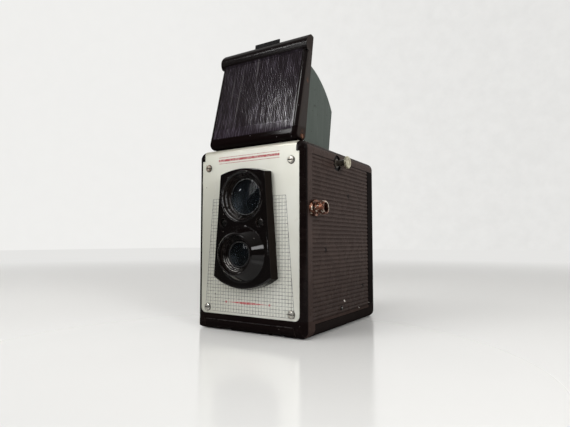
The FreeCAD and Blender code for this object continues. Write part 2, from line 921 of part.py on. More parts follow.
def lens_board():
    """The dark moulding that frames both lenses: a tapered tablet with a finder rim and a conical barrel."""
    body = new_body("lens_board")
    tablet = [
        (s.board_base_half, s.board_base),
        (s.board_top_half, s.board_top),
        Arc((-s.board_top_half, s.board_top, s.board_top_arc, 1)),
        (-s.board_base_half, s.board_base),
    ]
    tablet[0] = Arc((s.board_base_half, s.board_base, s.board_base_arc, 1))
    pad(body, sketch_on(body, "XZ", -plate_face, tablet), plate_face - board_face, taper=-s.board_draft)
    fillet(body, s.board_edge, lambda middle, box: near(box.YMax, board_face))
    rim_face = board_face - s.finder_rim_rise
    rim = [(plate_face - PAST, 0), (rim_face, 0), (rim_face, s.finder_rim - s.board_edge)]
    rim += [(rim_face + s.board_edge, s.finder_rim), (plate_face - PAST, s.finder_rim)]
    turned_at(body, s.finder_axis, rim)
    mouth = front - s.barrel_front
    foot = rim_face + s.board_edge
    barrel = [(plate_face - PAST, 0), (mouth, 0), (mouth, s.barrel_rim - s.board_edge)]
    barrel += [(mouth + s.board_edge, s.barrel_rim), (foot, s.barrel_foot - PAST), (foot, s.barrel_foot)]
    barrel += [(plate_face - PAST, s.barrel_foot)]
    turned_at(body, s.taking_axis, barrel)
    seat = front - s.finder_seat
    well = [
        (rim_face - PAST, 0),
        (rim_face - PAST, s.finder_step + s.finder_well_lip),
        (rim_face, s.finder_step + s.finder_well_lip),
        *steps(rim_face + s.finder_well_lip, seat, s.finder_step, s.finder_lens_radius + s.finder_ring_width),
        (seat, s.finder_lens_radius + s.fit_gap),
        (seat + s.finder_lens_edge, s.finder_lens_radius + s.fit_gap),
        (seat + s.finder_lens_edge, s.finder_bore),
        (plate_face + PAST, s.finder_bore),
        (plate_face + PAST, 0),
    ]
    turned_at(body, s.finder_axis, well, "PartDesign::Groove")
    floor = front - s.barrel_floor
    pit = [
        (mouth - PAST, 0),
        (mouth - PAST, s.barrel_rim - 2 * s.board_edge),
        (mouth, s.barrel_rim - 2 * s.board_edge),
        *steps(mouth + 2 * s.board_edge, floor, s.barrel_step, s.taking_lens_radius + s.taking_ring_width),
        (floor, s.taking_lens_radius + s.fit_gap),
        (floor + s.taking_lens_edge, s.taking_lens_radius + s.fit_gap),
        (floor + s.taking_lens_edge, s.taking_bore),
        (plate_face + PAST, s.taking_bore),
        (plate_face + PAST, 0),
    ]
    turned_at(body, s.taking_axis, pit, "PartDesign::Groove")
    pits = [(across, up, s.board_screw_pit) for across, up in board_spots]
    pocket(body, sketch_on(body, "XZ", PAST - board_face, *pits), s.board_screw_pit_depth + PAST)
    holes = [(across, up, shank + s.fit_gap) for across, up in board_spots]
    pocket(body, sketch_on(body, "XZ", PAST - board_face, *holes), plate_face - board_face + 2 * PAST)


def lens(label, seat, axis, radius, edge, bulge, inner):
    """A lens with a flat rim, domed towards -Y; its rim's front lies at the seat."""
    body = new_body(label, at=(0, seat, axis))
    curve = (inner * inner + bulge * bulge) / (2 * bulge)
    half = [(edge, 0), (edge, radius), (0, radius), (0, inner), Arc((-bulge, 0, curve, 1))]
    revolve(body, sketch_on(body, "YZ", 0, half))


def ring(label, seat, axis, outer, width, height):
    """A retaining ring in front of a lens, with its front edges eased."""
    body = new_body(label, at=(0, seat, axis))
    ease = height / 4
    half = [
        (0, outer - width),
        (ease - height, outer - width),
        (-height, outer - width + ease),
        (-height, outer - ease),
        (ease - height, outer),
        (0, outer),
    ]
    revolve(body, sketch_on(body, "YZ", 0, half))


def lenses():
    """Both lenses and the rings that hold them."""
    seat, floor = front - s.finder_seat, front - s.barrel_floor
    finder_outer = s.finder_lens_radius + s.finder_ring_width - s.fit_gap
    taking_outer = s.taking_lens_radius + s.taking_ring_width - s.fit_gap
    finder_span, taking_span = 2 * s.finder_ring_width, 2 * s.taking_ring_width
    lens(
        "finder_lens", seat, s.finder_axis, s.finder_lens_radius, s.finder_lens_edge, s.finder_lens_bulge,
        finder_outer - finder_span,
    )
    ring("finder_lens_ring", seat, s.finder_axis, finder_outer, finder_span, s.finder_ring_height)
    lens(
        "taking_lens", floor, s.taking_axis, s.taking_lens_radius, s.taking_lens_edge, s.taking_lens_bulge,
        taking_outer - taking_span,
    )
    ring("taking_lens_ring", floor, s.taking_axis, taking_outer, taking_span, s.taking_ring_height)


# ---- the shutter ----------------------------------------------------------------------------------------------------

shutter_face = wall_inside + s.sheet
lug_inner = s.frame_half + s.plate_gap
finder_rise = s.body_height - s.frame_thickness - s.finder_box_top_drop - s.finder_box_base
blade_y = shutter_face + s.blade_gap
lever_y = shutter_face + s.lever_gap
post_end = shutter_face + s.pivot_length


def shutter_plate():
    """The stamped plate behind the front wall that carries the shutter, with the fixed lens stop in it."""
    body = new_body("shutter_plate")
    half = s.shutter_plate_half
    outline = rounded(-half, s.blade_radius, s.shutter_plate_base, s.shutter_plate_top, s.plate_corner)
    stop = (0, s.taking_axis, s.aperture_radius)
    light = (0, s.finder_axis, s.finder_hole)
    pad(body, sketch_on(body, "XZ", -wall_inside, outline, stop), s.sheet, forward=False)
    relief = sketch_on(body, "XZ", -wall_inside, light)
    pocket(body, relief, s.sheet + PAST)


def shutter_pivots():
    """The riveted posts that the blade and both levers turn on."""
    body = new_body("shutter_pivots")
    spots = [blade_pivot, lever_pivot, time_pivot]
    stems = sketch_on(body, "XZ", -shutter_face, *[(across, up, s.pivot_radius) for across, up in spots])
    pad(body, stems, s.pivot_length, forward=False)
    heads = sketch_on(body, "XZ", -post_end, *[(across, up, s.pivot_head) for across, up in spots])
    pad(body, heads, s.sheet, forward=False)


def shutter_blade():
    """The turning sector: its window crosses the stop between two covered positions."""
    body = new_body("shutter_blade", at=(blade_pivot[0], blade_y, blade_pivot[1]))
    reach, hub = s.blade_radius, s.pivot_head + s.sheet
    last = s.blade_start_angle + s.blade_span_angle
    fan = [
        (reach * cosine(s.blade_start_angle), reach * sine(s.blade_start_angle)),
        Arc((reach * cosine(last), reach * sine(last), reach, 1)),
        (-hub, -hub),
        (hub, -hub),
    ]
    lens_reach = root(s.blade_offset * s.blade_offset + s.blade_drop * s.blade_drop)
    window = (
        lens_reach * cosine(s.blade_window_angle),
        lens_reach * sine(s.blade_window_angle),
        s.aperture_radius + s.blade_gap,
    )
    pivot = (0, 0, s.pivot_radius + s.running_gap)
    pad(body, sketch_on(body, "XZ", 0, fan, window, pivot), s.blade_sheet, forward=False)


def side_lever(label, pivot, width, reach, tab, inner_arm):
    """A lever that turns on a post, steps back along the side wall and comes out through its slot."""
    body = new_body(label, at=(pivot[0], lever_y, pivot[1]))
    turn = -(inner_side + pivot[0]) + s.loose_gap + s.sheet
    bore = (0, 0, s.pivot_radius + s.running_gap)
    arm = rectangle(turn, inner_arm, -width / 2, width / 2)
    pad(body, sketch_on(body, "XZ", 0, arm, bore), s.sheet, forward=False)
    back = front + s.lever_depth + s.sheet / 2 - lever_y
    step = rectangle(0, back, -width / 2, width / 2)
    pad(body, sketch_on(body, "YZ", turn, step), s.sheet)
    end = -(side + reach + pivot[0])
    paddle = sketch_on(body, "XZ", -(back - s.sheet), rectangle(end + tab, turn + s.sheet, -width / 2, width / 2))
    pad(body, paddle, s.sheet, forward=False)
    grip = sketch_on(body, "XZ", -(back - s.sheet), (end + tab, 0, tab))
    pad(body, grip, s.sheet, forward=False)


def lever_spring():
    """The closed coil round the release lever's post, with its two legs, that brings the lever back."""
    body = new_body("lever_spring", at=(lever_pivot[0], lever_y + s.sheet + s.fit_gap, lever_pivot[1]))
    inner, wire = s.pivot_radius + s.fit_gap, s.spring_wire
    coil = [(0, inner), (0, inner + wire / 2)]
    for turn in range(SPRING_TURNS):
        coil.append((turn * wire + wire / 2, inner + wire))
        coil.append(((turn + 1) * wire, inner + wire / 2))
    coil.append((SPRING_TURNS * wire, inner))
    revolve(body, sketch_on(body, "YZ", 0, coil))
    for level, start, end in ((0, -s.lever_width, 0), (SPRING_TURNS - 1, 0, s.lever_width)):
        leg = sketch_on(body, "XZ", -level * wire, rectangle(start, end, inner + wire / 4, inner + 3 * wire / 4))
        pad(body, leg, wire, forward=False)


# ---- the finder -----------------------------------------------------------------------------------------------------


def finder_box():
    """The folded sheet box behind the finder lens, open at the top, whose sloping floor carries the mirror."""
    body = new_body("finder_box")
    top = s.body_height - s.frame_thickness
    skin = s.sheet
    start, base = opening_front, s.finder_box_base
    rise = finder_rise
    foot = start + skin
    outer = [(start, base), (foot, base), (foot + rise, base + rise), (foot + rise, top), (start, top)]
    pad(body, sketch_on(body, "YZ", 0, outer), 2 * s.finder_box_half, both=True)
    slope = skin * root(size(2))
    inner = [
        (start + skin, base + slope),
        (foot + rise - skin, base + rise - skin + slope),
        (foot + rise - skin, top + PAST),
        (start + skin, top + PAST),
    ]
    pocket(body, sketch_on(body, "YZ", 0, inner), 2 * (s.finder_box_half - skin), both=True)
    window = (0, s.finder_axis, s.finder_hole)
    pocket(body, sketch_on(body, "XZ", PAST - start, window), skin + 2 * PAST)


def finder_mirror():
    """The front-silvered glass on the box's sloping floor."""
    slope = s.sheet * root(size(2))
    thick = s.mirror_thickness * root(size(2))
    body = new_body("finder_mirror")
    start = opening_front + s.sheet + s.mirror_setback
    length = finder_rise - s.sheet - 2 * s.mirror_setback
    low = s.finder_box_base + slope + s.mirror_setback
    outline = [(start, low), (start + length, low + length), (start + length - thick / 2, low + length + thick / 2)]
    outline += [(start - thick / 2, low + thick / 2)]
    pad(body, sketch_on(body, "YZ", 0, outline), 2 * s.mirror_half, both=True)


def finder_frame():
    """The stamped frame in the roof that clamps the finder glass; the box hangs from it."""
    body = new_body("finder_frame")
    low = s.body_height - s.frame_thickness
    lap = s.frame_lap
    outer = rectangle(-s.frame_half, s.frame_half, opening_front - lap, opening_rear + lap)
    half, middle, length = glass_field()
    hole = rounded(-half, half, middle - length, middle + length, s.plate_corner)
    pad(body, sketch_on(body, "XY", low, outer, hole), s.frame_thickness)


def glass_field():
    """The field of the finder glass: its half width, its middle along the depth and its half length."""
    inside = opening_front + s.sheet
    length = (finder_rise - s.sheet) / 2
    return s.finder_glass_half - s.glass_lap, inside + length, length - s.glass_lap


def finder_glass():
    """The brilliant-finder lens: a flat rim under the frame and a domed field that stands through it."""
    body = new_body("finder_glass")
    half, middle, length = glass_field()
    lap = s.glass_lap - s.fit_gap
    top = s.body_height - s.frame_thickness
    rim = rounded(-half - lap, half + lap, middle - length - lap, middle + length + lap, s.plate_corner)
    pad(body, sketch_on(body, "XY", top - s.finder_glass_rim, rim), s.finder_glass_rim)
    half, length = half - s.fit_gap, length - s.fit_gap
    crown = s.frame_thickness + s.finder_glass_crown
    outline = rounded(-half, half, middle - length, middle + length, s.plate_corner)
    pad(body, sketch_on(body, "XY", top, outline), crown)
    dome(body, middle, top + crown, half * half / s.finder_glass_crown, half + PAST)


def dome(body, middle, crown, curve, reach):
    """Turns the top of the finder glass to a shallow dome by cutting away what lies outside it."""
    drop = curve - root(curve * curve - reach * reach)
    over = PAST
    across = [
        (middle - reach, crown + over),
        (middle - reach, crown - drop),
        Arc((middle + reach, crown - drop, curve, -1)),
        (middle + reach, crown + over),
    ]
    pocket(body, sketch_on(body, "YZ", 0, across), 2 * reach, both=True)
    along = [
        (-reach, crown + over),
        (-reach, crown - drop),
        Arc((reach, crown - drop, curve, -1)),
        (reach, crown + over),
    ]
    pocket(body, sketch_on(body, "XZ", PAST - front, along), s.body_depth)


# ---- the folding hood, drawn closed about its hinge line: Y runs to the free edge and Z out of the lid -------------


def hood_body(label):
    body = new_body(label, at=(0, hinge_y, hinge_z), turn=FreeCAD.Rotation(FreeCAD.Vector(1, 0, 0), 80))
    bind(body, "Placement.Rotation.Angle", lid_turn)
    return body


def lid_inside(level):
    """How far along the lid its rolled end's inner face lies at a level."""
    depth, roll = s.lid_rim + s.lid_crown, s.lid_roll
    chord = root(depth * depth + roll * roll)
    sag = root(s.lid_roll_curve * s.lid_roll_curve - chord * chord / 4)
    along = s.lid_reach - roll / 2 - sag * depth / chord
    across = (s.lid_crown - s.lid_rim) / 2 - sag * roll / chord
    curve, rise = s.lid_roll_curve - s.lid_wall, level - across
    return along + root(curve * curve - rise * rise)


def lid_level(along):
    """How high the lid's sloping top lies above the hinge at a place along it."""
    return s.lid_height - (s.lid_height - s.lid_end_height) * along / s.lid_field_end


def hood_lid():
    """The lid: a moulded tray, thickest at its hinge, reeded outside, with a rolled free edge."""
    body = hood_body("hood_lid")
    half, lip, corner = s.lid_half, s.lid_lip, s.lid_hinge_corner
    far, crest = s.lid_field_end + s.lid_roll / 2, lid_level(-lip)
    plan = [
        (half, far),
        (-half, far),
        (-half, corner - lip),
        Arc((corner - half, -lip, corner, 1)),
        (half - corner, -lip),
        Arc((half, corner - lip, corner, 1)),
    ]
    pad(body, sketch_on(body, "XY", -s.lid_rim, plan), s.lid_rim + crest)
    above = [
        (-lip - PAST, lid_level(-lip - PAST)),
        (far + PAST, lid_level(far + PAST)),
        (far + PAST, crest + PAST),
        (-lip - PAST, crest + PAST),
    ]
    pocket(body, sketch_on(body, "YZ", 0, above), 2 * half + PAST, both=True)
    fillet(
        body, s.lid_side_round,
        lambda middle, box: near(abs(middle.x), half) and middle.z > 0 and box.YLength > float(half),
    )
    add_roll(body)
    wall, inner = s.lid_wall, half - s.lid_wall
    corner = s.lid_hinge_corner - wall
    hollow = rounded(-inner, inner, wall - s.lid_front, s.lid_field_end, corner, corner, wall, wall)
    pocket(body, sketch_on(body, "XY", -s.lid_rim, hollow), s.lid_rim + lid_ceiling, forward=True)
    curve = s.lid_roll_curve - wall
    roll = [
        (s.lid_field_end - corner, -s.lid_rim - PAST),
        (lid_inside(-s.lid_rim), -s.lid_rim - PAST),
        (lid_inside(-s.lid_rim), -s.lid_rim),
        Arc((lid_inside(lid_ceiling), lid_ceiling, curve, 1)),
        (s.lid_field_end - corner, lid_ceiling),
    ]
    pocket(body, sketch_on(body, "YZ", 0, roll), 2 * inner, both=True)
    clear = [
        (-lip - PAST, -s.lid_rim - PAST),
        (s.lid_front, -s.lid_rim - PAST),
        (s.lid_front / 4, -s.lid_rim),
        (-s.lid_front, s.lid_clear - s.lid_rim),
        (-s.lid_front, s.lid_front),
        (-lip, s.lid_lip_level),
        (-lip - PAST, s.lid_lip_level),
    ]
    pocket(body, sketch_on(body, "YZ", 0, clear), 2 * half + PAST, both=True)
    cut_reeds(body)
    cut_hinge(body)
    gap = s.fit_gap
    mouth = rectangle(-s.tab_half - gap, s.tab_half + gap, -s.tab_level - s.tab_sheet - gap, gap - s.tab_level)
    turn = lid_inside(lid_ceiling)
    pocket(body, sketch_on(body, "XZ", -turn, mouth), s.lid_reach - turn + PAST)


def add_roll(body):
    """The roll along the lid's free edge, which stands above the reeded field, with its two corners rounded."""
    half, reach, corner = s.lid_half, s.lid_reach, s.lid_free_corner
    roll = [
        (s.lid_field_end, -s.lid_rim),
        (s.lid_field_end, s.lid_end_height),
        Arc((reach - s.lid_roll, s.lid_crown, s.lid_bead, -1)),
        Arc((reach, -s.lid_rim, s.lid_roll_curve, -1)),
    ]
    pad(body, sketch_on(body, "YZ", 0, roll), 2 * half, both=True)
    for hand in SIDES:
        free = [
            (hand * (half - corner), reach),
            Arc((hand * half, reach - corner, corner, -hand)),
            (hand * (half + PAST), reach - corner),
            (hand * (half + PAST), reach + PAST),
            (hand * (half - corner), reach + PAST),
        ]
        pocket(body, sketch_on(body, "XY", -s.lid_rim - PAST, free), s.lid_rim + s.lid_height, forward=True)


def cut_reeds(body):
    """The grooves between the reeds, which follow the sloping top from the plain band to the roll."""
    start, end, depth, field = s.lid_field_start, s.lid_field_end, s.reed_depth, s.lid_half - s.lid_margin
    groove = [
        (start, lid_level(start) - depth),
        (end, s.lid_end_height - depth),
        (end, s.lid_end_height + depth),
        (start, lid_level(start) + depth),
    ]
    first = pocket(body, sketch_on(body, "YZ", -field, groove), s.reed_width, forward=True)
    repeat(body, first, "X", s.reed_pitch, int(float((2 * field - s.reed_width) / s.reed_pitch)) + 1)


def cut_hinge(body):
    """The lid's notches round the body's lugs, the holes for its two pins and the flats for their heads."""
    start, end = -s.lid_front - PAST, s.lid_hinge_corner - s.lid_front
    near_lug = lug_inner - s.lug_clear
    far_lug = lug_inner + s.lug_thickness + s.lug_clear
    notches = [rectangle(*sorted((hand * near_lug, hand * far_lug), key=float), start, end) for hand in SIDES]
    depth = s.lid_rim + s.lug_radius + s.lug_clear + PAST
    pocket(body, sketch_on(body, "XY", -s.lid_rim - PAST, *notches), depth, forward=True)
    pin = sketch_on(body, "YZ", 0, (0, 0, s.hinge_pin_radius + s.running_gap))
    pocket(body, pin, s.body_width, both=True)
    for hand in SIDES:
        head = (0, 0, s.hinge_pin_head + s.fit_gap)
        flat = sketch_on(body, "YZ", hand * (s.lid_half - s.hinge_pin_head_height), head)
        pocket(body, flat, s.hinge_pin_head_height + PAST, forward=hand > 0)


def hood_shade():
    """The painted sheet folded into two wings that shade the finder and drop beside it when the lid shuts."""
    body = hood_body("hood_shade")
    roof = lid_ceiling
    outer = s.lid_half - s.lid_wall - s.fit_gap
    edge = s.lid_wall - s.lid_front + s.fit_gap
    inside = s.lid_hinge_corner - s.lid_front + s.fit_gap
    below = -s.lid_rim - s.fit_gap
    corner = root(s.wing_radius * s.wing_radius - s.wing_drop * s.wing_drop)
    top = root(s.wing_radius * s.wing_radius - s.lid_rim * s.lid_rim)
    wing = [
        (inside, roof),
        (inside, below),
        (edge, below),
        (edge, -s.wing_drop),
        (corner, -s.wing_drop),
        Arc((top, -s.lid_rim, s.wing_radius, 1)),
        (top, roof),
    ]
    pad(body, sketch_on(body, "YZ", 0, wing), 2 * outer, both=True)
    inner = outer - s.wing_sheet
    under = roof - s.wing_sheet
    space = rectangle(edge - PAST, top + PAST, -s.wing_drop - PAST, under)
    pocket(body, sketch_on(body, "YZ", 0, space), 2 * inner, both=True)


def hood_rivets():
    """Four rivets under the lid that hold the shade to it."""
    body = hood_body("hood_rivets")
    under = lid_ceiling - s.wing_sheet
    across, near_row = s.lid_half / 2, s.lid_field_start
    rows = (near_row, s.lid_field_end - near_row)
    heads = [(hand * across, along, s.rivet_radius) for along in rows for hand in SIDES]
    made = pad(body, sketch_on(body, "XY", under, *heads), s.rivet_height, forward=False)
    return made


def hood_tab():
    """The black spring tab under the free edge that the lid is lifted and caught by."""
    body = hood_body("hood_tab")
    thick, start, turn = s.tab_sheet, s.lid_field_end, lid_inside(lid_ceiling) - s.fit_gap
    strip = [
        (start, lid_ceiling - thick),
        (turn - thick, lid_ceiling - thick),
        (turn - thick, -s.tab_level - thick),
        (s.tab_reach, -s.tab_level - thick),
        (s.tab_reach, -s.tab_level),
        (turn, -s.tab_level),
        (turn, lid_ceiling),
        (start, lid_ceiling),
    ]
    pad(body, sketch_on(body, "YZ", 0, strip), 2 * s.tab_half, both=True)


def hood_pins():
    """The two short hinge pins, pressed into the lugs, whose heads show outside the lid."""
    body = new_body("hood_pins", at=(0, hinge_y, hinge_z))
    shoulder = s.lid_half - s.hinge_pin_head_height + s.fit_gap
    stem = [
        (lug_inner, 0),
        (s.lid_half + s.fit_gap, 0),
        (s.lid_half + s.fit_gap, s.hinge_pin_radius),
        (s.lid_half - s.hinge_pin_head_height / 2, s.hinge_pin_head),
        (shoulder, s.hinge_pin_head),
        (shoulder, s.hinge_pin_radius),
        (lug_inner, s.hinge_pin_radius),
    ]
    made = revolve(body, sketch_on(body, "XY", 0, stem))
    mirror(body, made)


# ---- the film path --------------------------------------------------------------------------------------------------


def film_carrier():
    """The dark cone from the lens to the film gate, and the gate plate that spans the body behind it."""
    body = new_body("film_carrier")
    start, plane, skin = front + s.cone_front, front + s.film_plane - s.sheet, s.sheet
    small, large = s.cone_front_half, s.gate_half

    def square(half):
        return rectangle(-half, half, s.taking_axis - half, s.taking_axis + half)

    for kind, extra in (("PartDesign::AdditiveLoft", skin), ("PartDesign::SubtractiveLoft", 0)):
        loft = body.newObject(kind, "film_carrier_cone")
        if extra:
            stations = ((start, small + extra), (plane, large + extra))
            flange = rectangle(-inner_side, inner_side, s.cone_flange_base, s.cone_flange_top)
        else:
            stations = ((start, small), (plane, large))
        sections = [sketch_on(body, "XZ", -where, square(half)) for where, half in stations]
        loft.Profile = sections[0]
        loft.Sections = sections[1:]
        loft.Ruled = True
    gate = sketch_on(body, "XZ", -plane, flange, square(large))
    pad(body, gate, skin, forward=False)


def takeup_spool():
    """An empty spool on the winding side: two flanges on a core, with the drive slot and bore in its ends."""
    body = new_body("takeup_spool", at=(0, takeup_y, s.takeup_height))
    half, bore, depth = s.spool_half, s.spool_bore, s.spool_bore_depth
    profile = [
        (0, 0),
        (half - depth, 0),
        (half - depth, bore),
        (half, bore),
        (half, s.spool_flange_radius),
        (half - s.spool_flange, s.spool_flange_radius),
        (half - s.spool_flange, s.spool_core),
        (0, s.spool_core),
    ]
    made = revolve(body, sketch_on(body, "XY", 0, profile))
    mirror(body, made)
    slot = rectangle(-s.spool_core + PAST, s.spool_core - PAST, -s.spool_slot / 2, s.spool_slot / 2)
    cut = pocket(body, sketch_on(body, "YZ", -half, slot), s.spool_bore_depth / 2, forward=True)
    mirror(body, cut)


def spool_pins():
    """The stepped pins on the side walls that spools turn on: one for the take-up spool and two for the supply."""
    body = new_body("spool_pins")
    for hand, where, height in ((1, takeup_y, s.takeup_height), (1, supply_y, s.supply_height),
                                (-1, supply_y, s.supply_height)):
        foot = sketch_on(body, "YZ", hand * inner_side, (where, height, s.spool_pin_foot))
        pad(body, foot, s.spool_pin_foot_length, forward=hand < 0)
        start = inner_side - s.spool_pin_foot_length
        stem = sketch_on(body, "YZ", hand * start, (where, height, s.spool_bore - s.loose_gap))
        pad(body, stem, start - s.spool_half + s.spool_pin_entry, forward=hand < 0)


def tension_springs():
    """The two bowed leaves on the side walls that keep the supply spool from running on."""
    body = new_body("tension_springs")
    middle = front + s.side_rivet_setback
    low, high = s.side_rivet_height - s.spool_pin_foot, s.side_rivet_height + s.spool_pin_foot
    plan = [
        (inner_side, middle - s.spool_pin_foot),
        (inner_side, middle + s.spool_pin_foot),
        (inner_side - s.blade_sheet, middle + s.spool_pin_foot),
        (inner_side - s.blade_sheet, middle - s.spool_pin_foot),
    ]
    made = pad(body, sketch_on(body, "XY", low, plan), high - low)
    mirror(body, made)


def side_rivets():
    """The small rivets that show low on each side and hold the tension springs inside."""
    body = new_body("side_rivets")
    spot = (front + s.side_rivet_setback, s.side_rivet_height)
    stem = pad(body, sketch_on(body, "YZ", inner_side, (*spot, s.side_rivet_radius)), s.wall - s.groove_depth)
    mirror(body, stem)
    cap = sketch_on(body, "YZ", side - s.groove_depth, (*spot, s.side_rivet_radius))
    top = pad(body, cap, s.groove_depth + s.rivet_height / 2)
    mirror(body, top)
    return body


# ---- winding --------------------------------------------------------------------------------------------------------


def winding_knob():
    """The fluted moulded knob, dished in its outer face."""
    body = new_body("winding_knob", at=(-side - s.knob_gap, takeup_y, s.takeup_height))
    radius, length, ease = s.knob_radius, s.knob_length, s.board_edge
    half = [
        (0, s.shaft_radius),
        (0, radius - ease),
        (-ease, radius),
        (ease - length, radius),
        (-length, radius - ease),
        (-length, radius - 3 * ease),
        (2 * ease - length, radius - 4 * ease),
        (2 * ease - length, s.shaft_radius),
    ]
    revolve(body, sketch_on(body, "XY", 0, half))
    flute = sketch_on(body, "YZ", PAST, (radius + s.knob_flute / 2, 0, s.knob_flute))
    first = pocket(body, flute, length + 2 * PAST)
    repeat_round(body, first, "X", KNOB_FLUTES)


def winding_shaft():
    """The steel shaft through the side wall: knob at one end, the key that drives the spool at the other."""
    body = new_body("winding_shaft", at=(0, takeup_y, s.takeup_height))
    outer = side + s.knob_gap + s.knob_length - s.board_edge
    key = s.spool_half - s.spool_bore_depth / 2 + s.loose_gap
    made = revolve(body, sketch_on(body, "XY", 0, rectangle(-outer, -s.spool_half - s.loose_gap, 0, s.shaft_radius)))
    blade = rectangle(-s.spool_bore + s.loose_gap, s.spool_bore - s.loose_gap, -s.shaft_key / 2, s.shaft_key / 2)
    pad(body, sketch_on(body, "YZ", -s.spool_half - s.loose_gap, blade), s.spool_half + s.loose_gap - key)
    return made


def winding_bush():
    """The flanged bush in the side wall that the winding shaft turns in."""
    body = new_body("winding_bush", at=(-inner_side, takeup_y, s.takeup_height))
    bore = s.shaft_radius + s.running_gap
    half = [
        (-s.wall, bore),
        (-s.wall, s.bush_radius),
        (0, s.bush_radius),
        (0, s.bush_radius + s.bush_length),
        (s.bush_length / 2, s.bush_radius + s.bush_length),
        (s.bush_length / 2, bore),
    ]
    revolve(body, sketch_on(body, "XY", 0, half))


def ratchet_wheel():
    """The toothed wheel on the shaft that lets the film wind one way only."""
    body = new_body("ratchet_wheel", at=(-inner_side + s.bush_length, takeup_y, s.takeup_height))
    half = rectangle(0, s.ratchet_length, s.shaft_radius, s.ratchet_radius)
    revolve(body, sketch_on(body, "XY", 0, half))
    inner = s.ratchet_radius - s.ratchet_tooth
    pitch = 2 * math.pi / RATCHET_TEETH
    tooth = [
        (inner, 0),
        (s.ratchet_radius + PAST, 0),
        ((s.ratchet_radius + PAST) * math.cos(pitch), (s.ratchet_radius + PAST) * math.sin(pitch)),
        (s.ratchet_radius * math.cos(pitch), s.ratchet_radius * math.sin(pitch)),
    ]
    first = pocket(body, sketch_on(body, "YZ", -PAST, tooth), s.ratchet_length + 2 * PAST, forward=True)
    repeat_round(body, first, "X", RATCHET_TEETH)


def ratchet_spring():
    """The leaf on the side wall whose end rests by the ratchet wheel's teeth."""
    body = new_body("ratchet_spring", at=(-inner_side, takeup_y, s.takeup_height))
    reach = s.ratchet_radius + s.loose_gap
    start = s.ratchet_radius + 2 * s.spool_pin_foot
    leaf = [(-start, -start), (-reach + PAST, -start), (-reach + PAST, PAST - start)]
    leaf += [(-reach, PAST - start), (-reach, 0), (-reach - s.blade_sheet, 0), (-reach - s.blade_sheet, PAST - start)]
    leaf += [(-start, PAST - start)]
    pad(body, sketch_on(body, "YZ", 0, leaf), s.bush_length + s.ratchet_length)


# ---- side fittings --------------------------------------------------------------------------------------------------


def strap_studs():
    """The studs on both sides that a neck strap's ends snap on to."""
    body = new_body("strap_studs", at=(0, front + s.stud_setback, s.stud_height))
    end = side + s.stud_reach
    neck = end - s.stud_head_length
    floor = side - s.border_width
    profile = [
        (inner_side - s.rivet_height, 0),
        (end - s.stud_dimple, 0),
        (end - s.stud_dimple, s.stud_dimple),
        (end - s.stud_dimple / 2, s.stud_shank),
        (end, s.stud_shank + s.stud_dimple),
        (end, s.stud_head - s.stud_dimple),
        (end - s.stud_dimple, s.stud_head),
        (neck, s.stud_head),
        (neck, s.stud_shank),
        (floor + s.border_width, s.stud_shank),
        (floor + s.stud_dimple, s.stud_shank + PAST),
        (floor, s.stud_shank + PAST),
        (floor, s.stud_shank),
        (inner_side, s.stud_shank),
        (inner_side, s.stud_shank + PAST),
        (inner_side - s.rivet_height, s.stud_shank + PAST),
    ]
    made = revolve(body, sketch_on(body, "XY", 0, profile))
    mirror(body, made)


def flash_terminal():
    """The brass screw post that a flash holder's plug goes on: collar, neck, threaded end and hollow shank."""
    body = new_body("flash_terminal", at=(0, front + s.terminal_setback, s.terminal_height))
    collar = side + s.terminal_collar_length
    neck = collar + s.terminal_neck_length
    end = side + s.terminal_reach
    profile = [
        (inner_side - s.terminal_neck_length, s.terminal_bore - PAST),
        (end - s.terminal_bore_depth, s.terminal_bore - PAST),
        (end - s.terminal_bore_depth, s.terminal_bore),
        (end, s.terminal_bore),
        (end, s.terminal_end - s.spring_wire),
        (end - s.spring_wire, s.terminal_end),
        (neck, s.terminal_end),
        (neck, s.terminal_neck),
        (collar, s.terminal_neck),
        (collar, s.terminal_collar),
        (side, s.terminal_collar),
        (side, s.terminal_shank),
        (inner_side - s.terminal_neck_length, s.terminal_shank),
    ]
    revolve(body, sketch_on(body, "XY", 0, profile))


def flash_nut():
    """The hexagon nut that draws the terminal tight from inside."""
    body = new_body("flash_nut", at=(inner_side, front + s.terminal_setback, s.terminal_height))
    reach = s.terminal_collar
    corners = [(reach * math.cos(math.pi * k / 3), reach * math.sin(math.pi * k / 3)) for k in range(6)]
    bore = (0, 0, s.terminal_shank + s.fit_gap)
    pad(body, sketch_on(body, "YZ", 0, corners, bore), s.terminal_neck_length, forward=False)


def flash_insulator():
    """The fibre tube that keeps the centre contact clear of the terminal's shell."""
    body = new_body("flash_insulator", at=(0, front + s.terminal_setback, s.terminal_height))
    start = inner_side - s.terminal_neck_length
    end = side + s.terminal_reach - s.terminal_bore_depth
    outer = s.terminal_bore - PAST - s.fit_gap
    sleeve = [
        (start - s.sheet, s.terminal_pin),
        (end, s.terminal_pin),
        (end, outer),
        (start, outer),
        (start, s.terminal_shank),
        (start - s.sheet, s.terminal_shank),
    ]
    revolve(body, sketch_on(body, "XY", 0, sleeve))


def flash_contact():
    """The centre contact: a pin through the insulator, and its leaf inside the body."""
    body = new_body("flash_contact", at=(0, front + s.terminal_setback, s.terminal_height))
    start = inner_side - s.terminal_neck_length - s.sheet
    end = side + s.terminal_reach - s.terminal_bore_depth + s.terminal_neck_length
    revolve(body, sketch_on(body, "XY", 0, rectangle(start - s.blade_sheet, end, 0, s.terminal_pin)))
    half = s.terminal_shank - PAST
    leaf = rectangle(-half, half, -s.contact_length, half)
    pad(body, sketch_on(body, "YZ", start, leaf), s.blade_sheet, forward=False)


# ---- the back -------------------------------------------------------------------------------------------------------


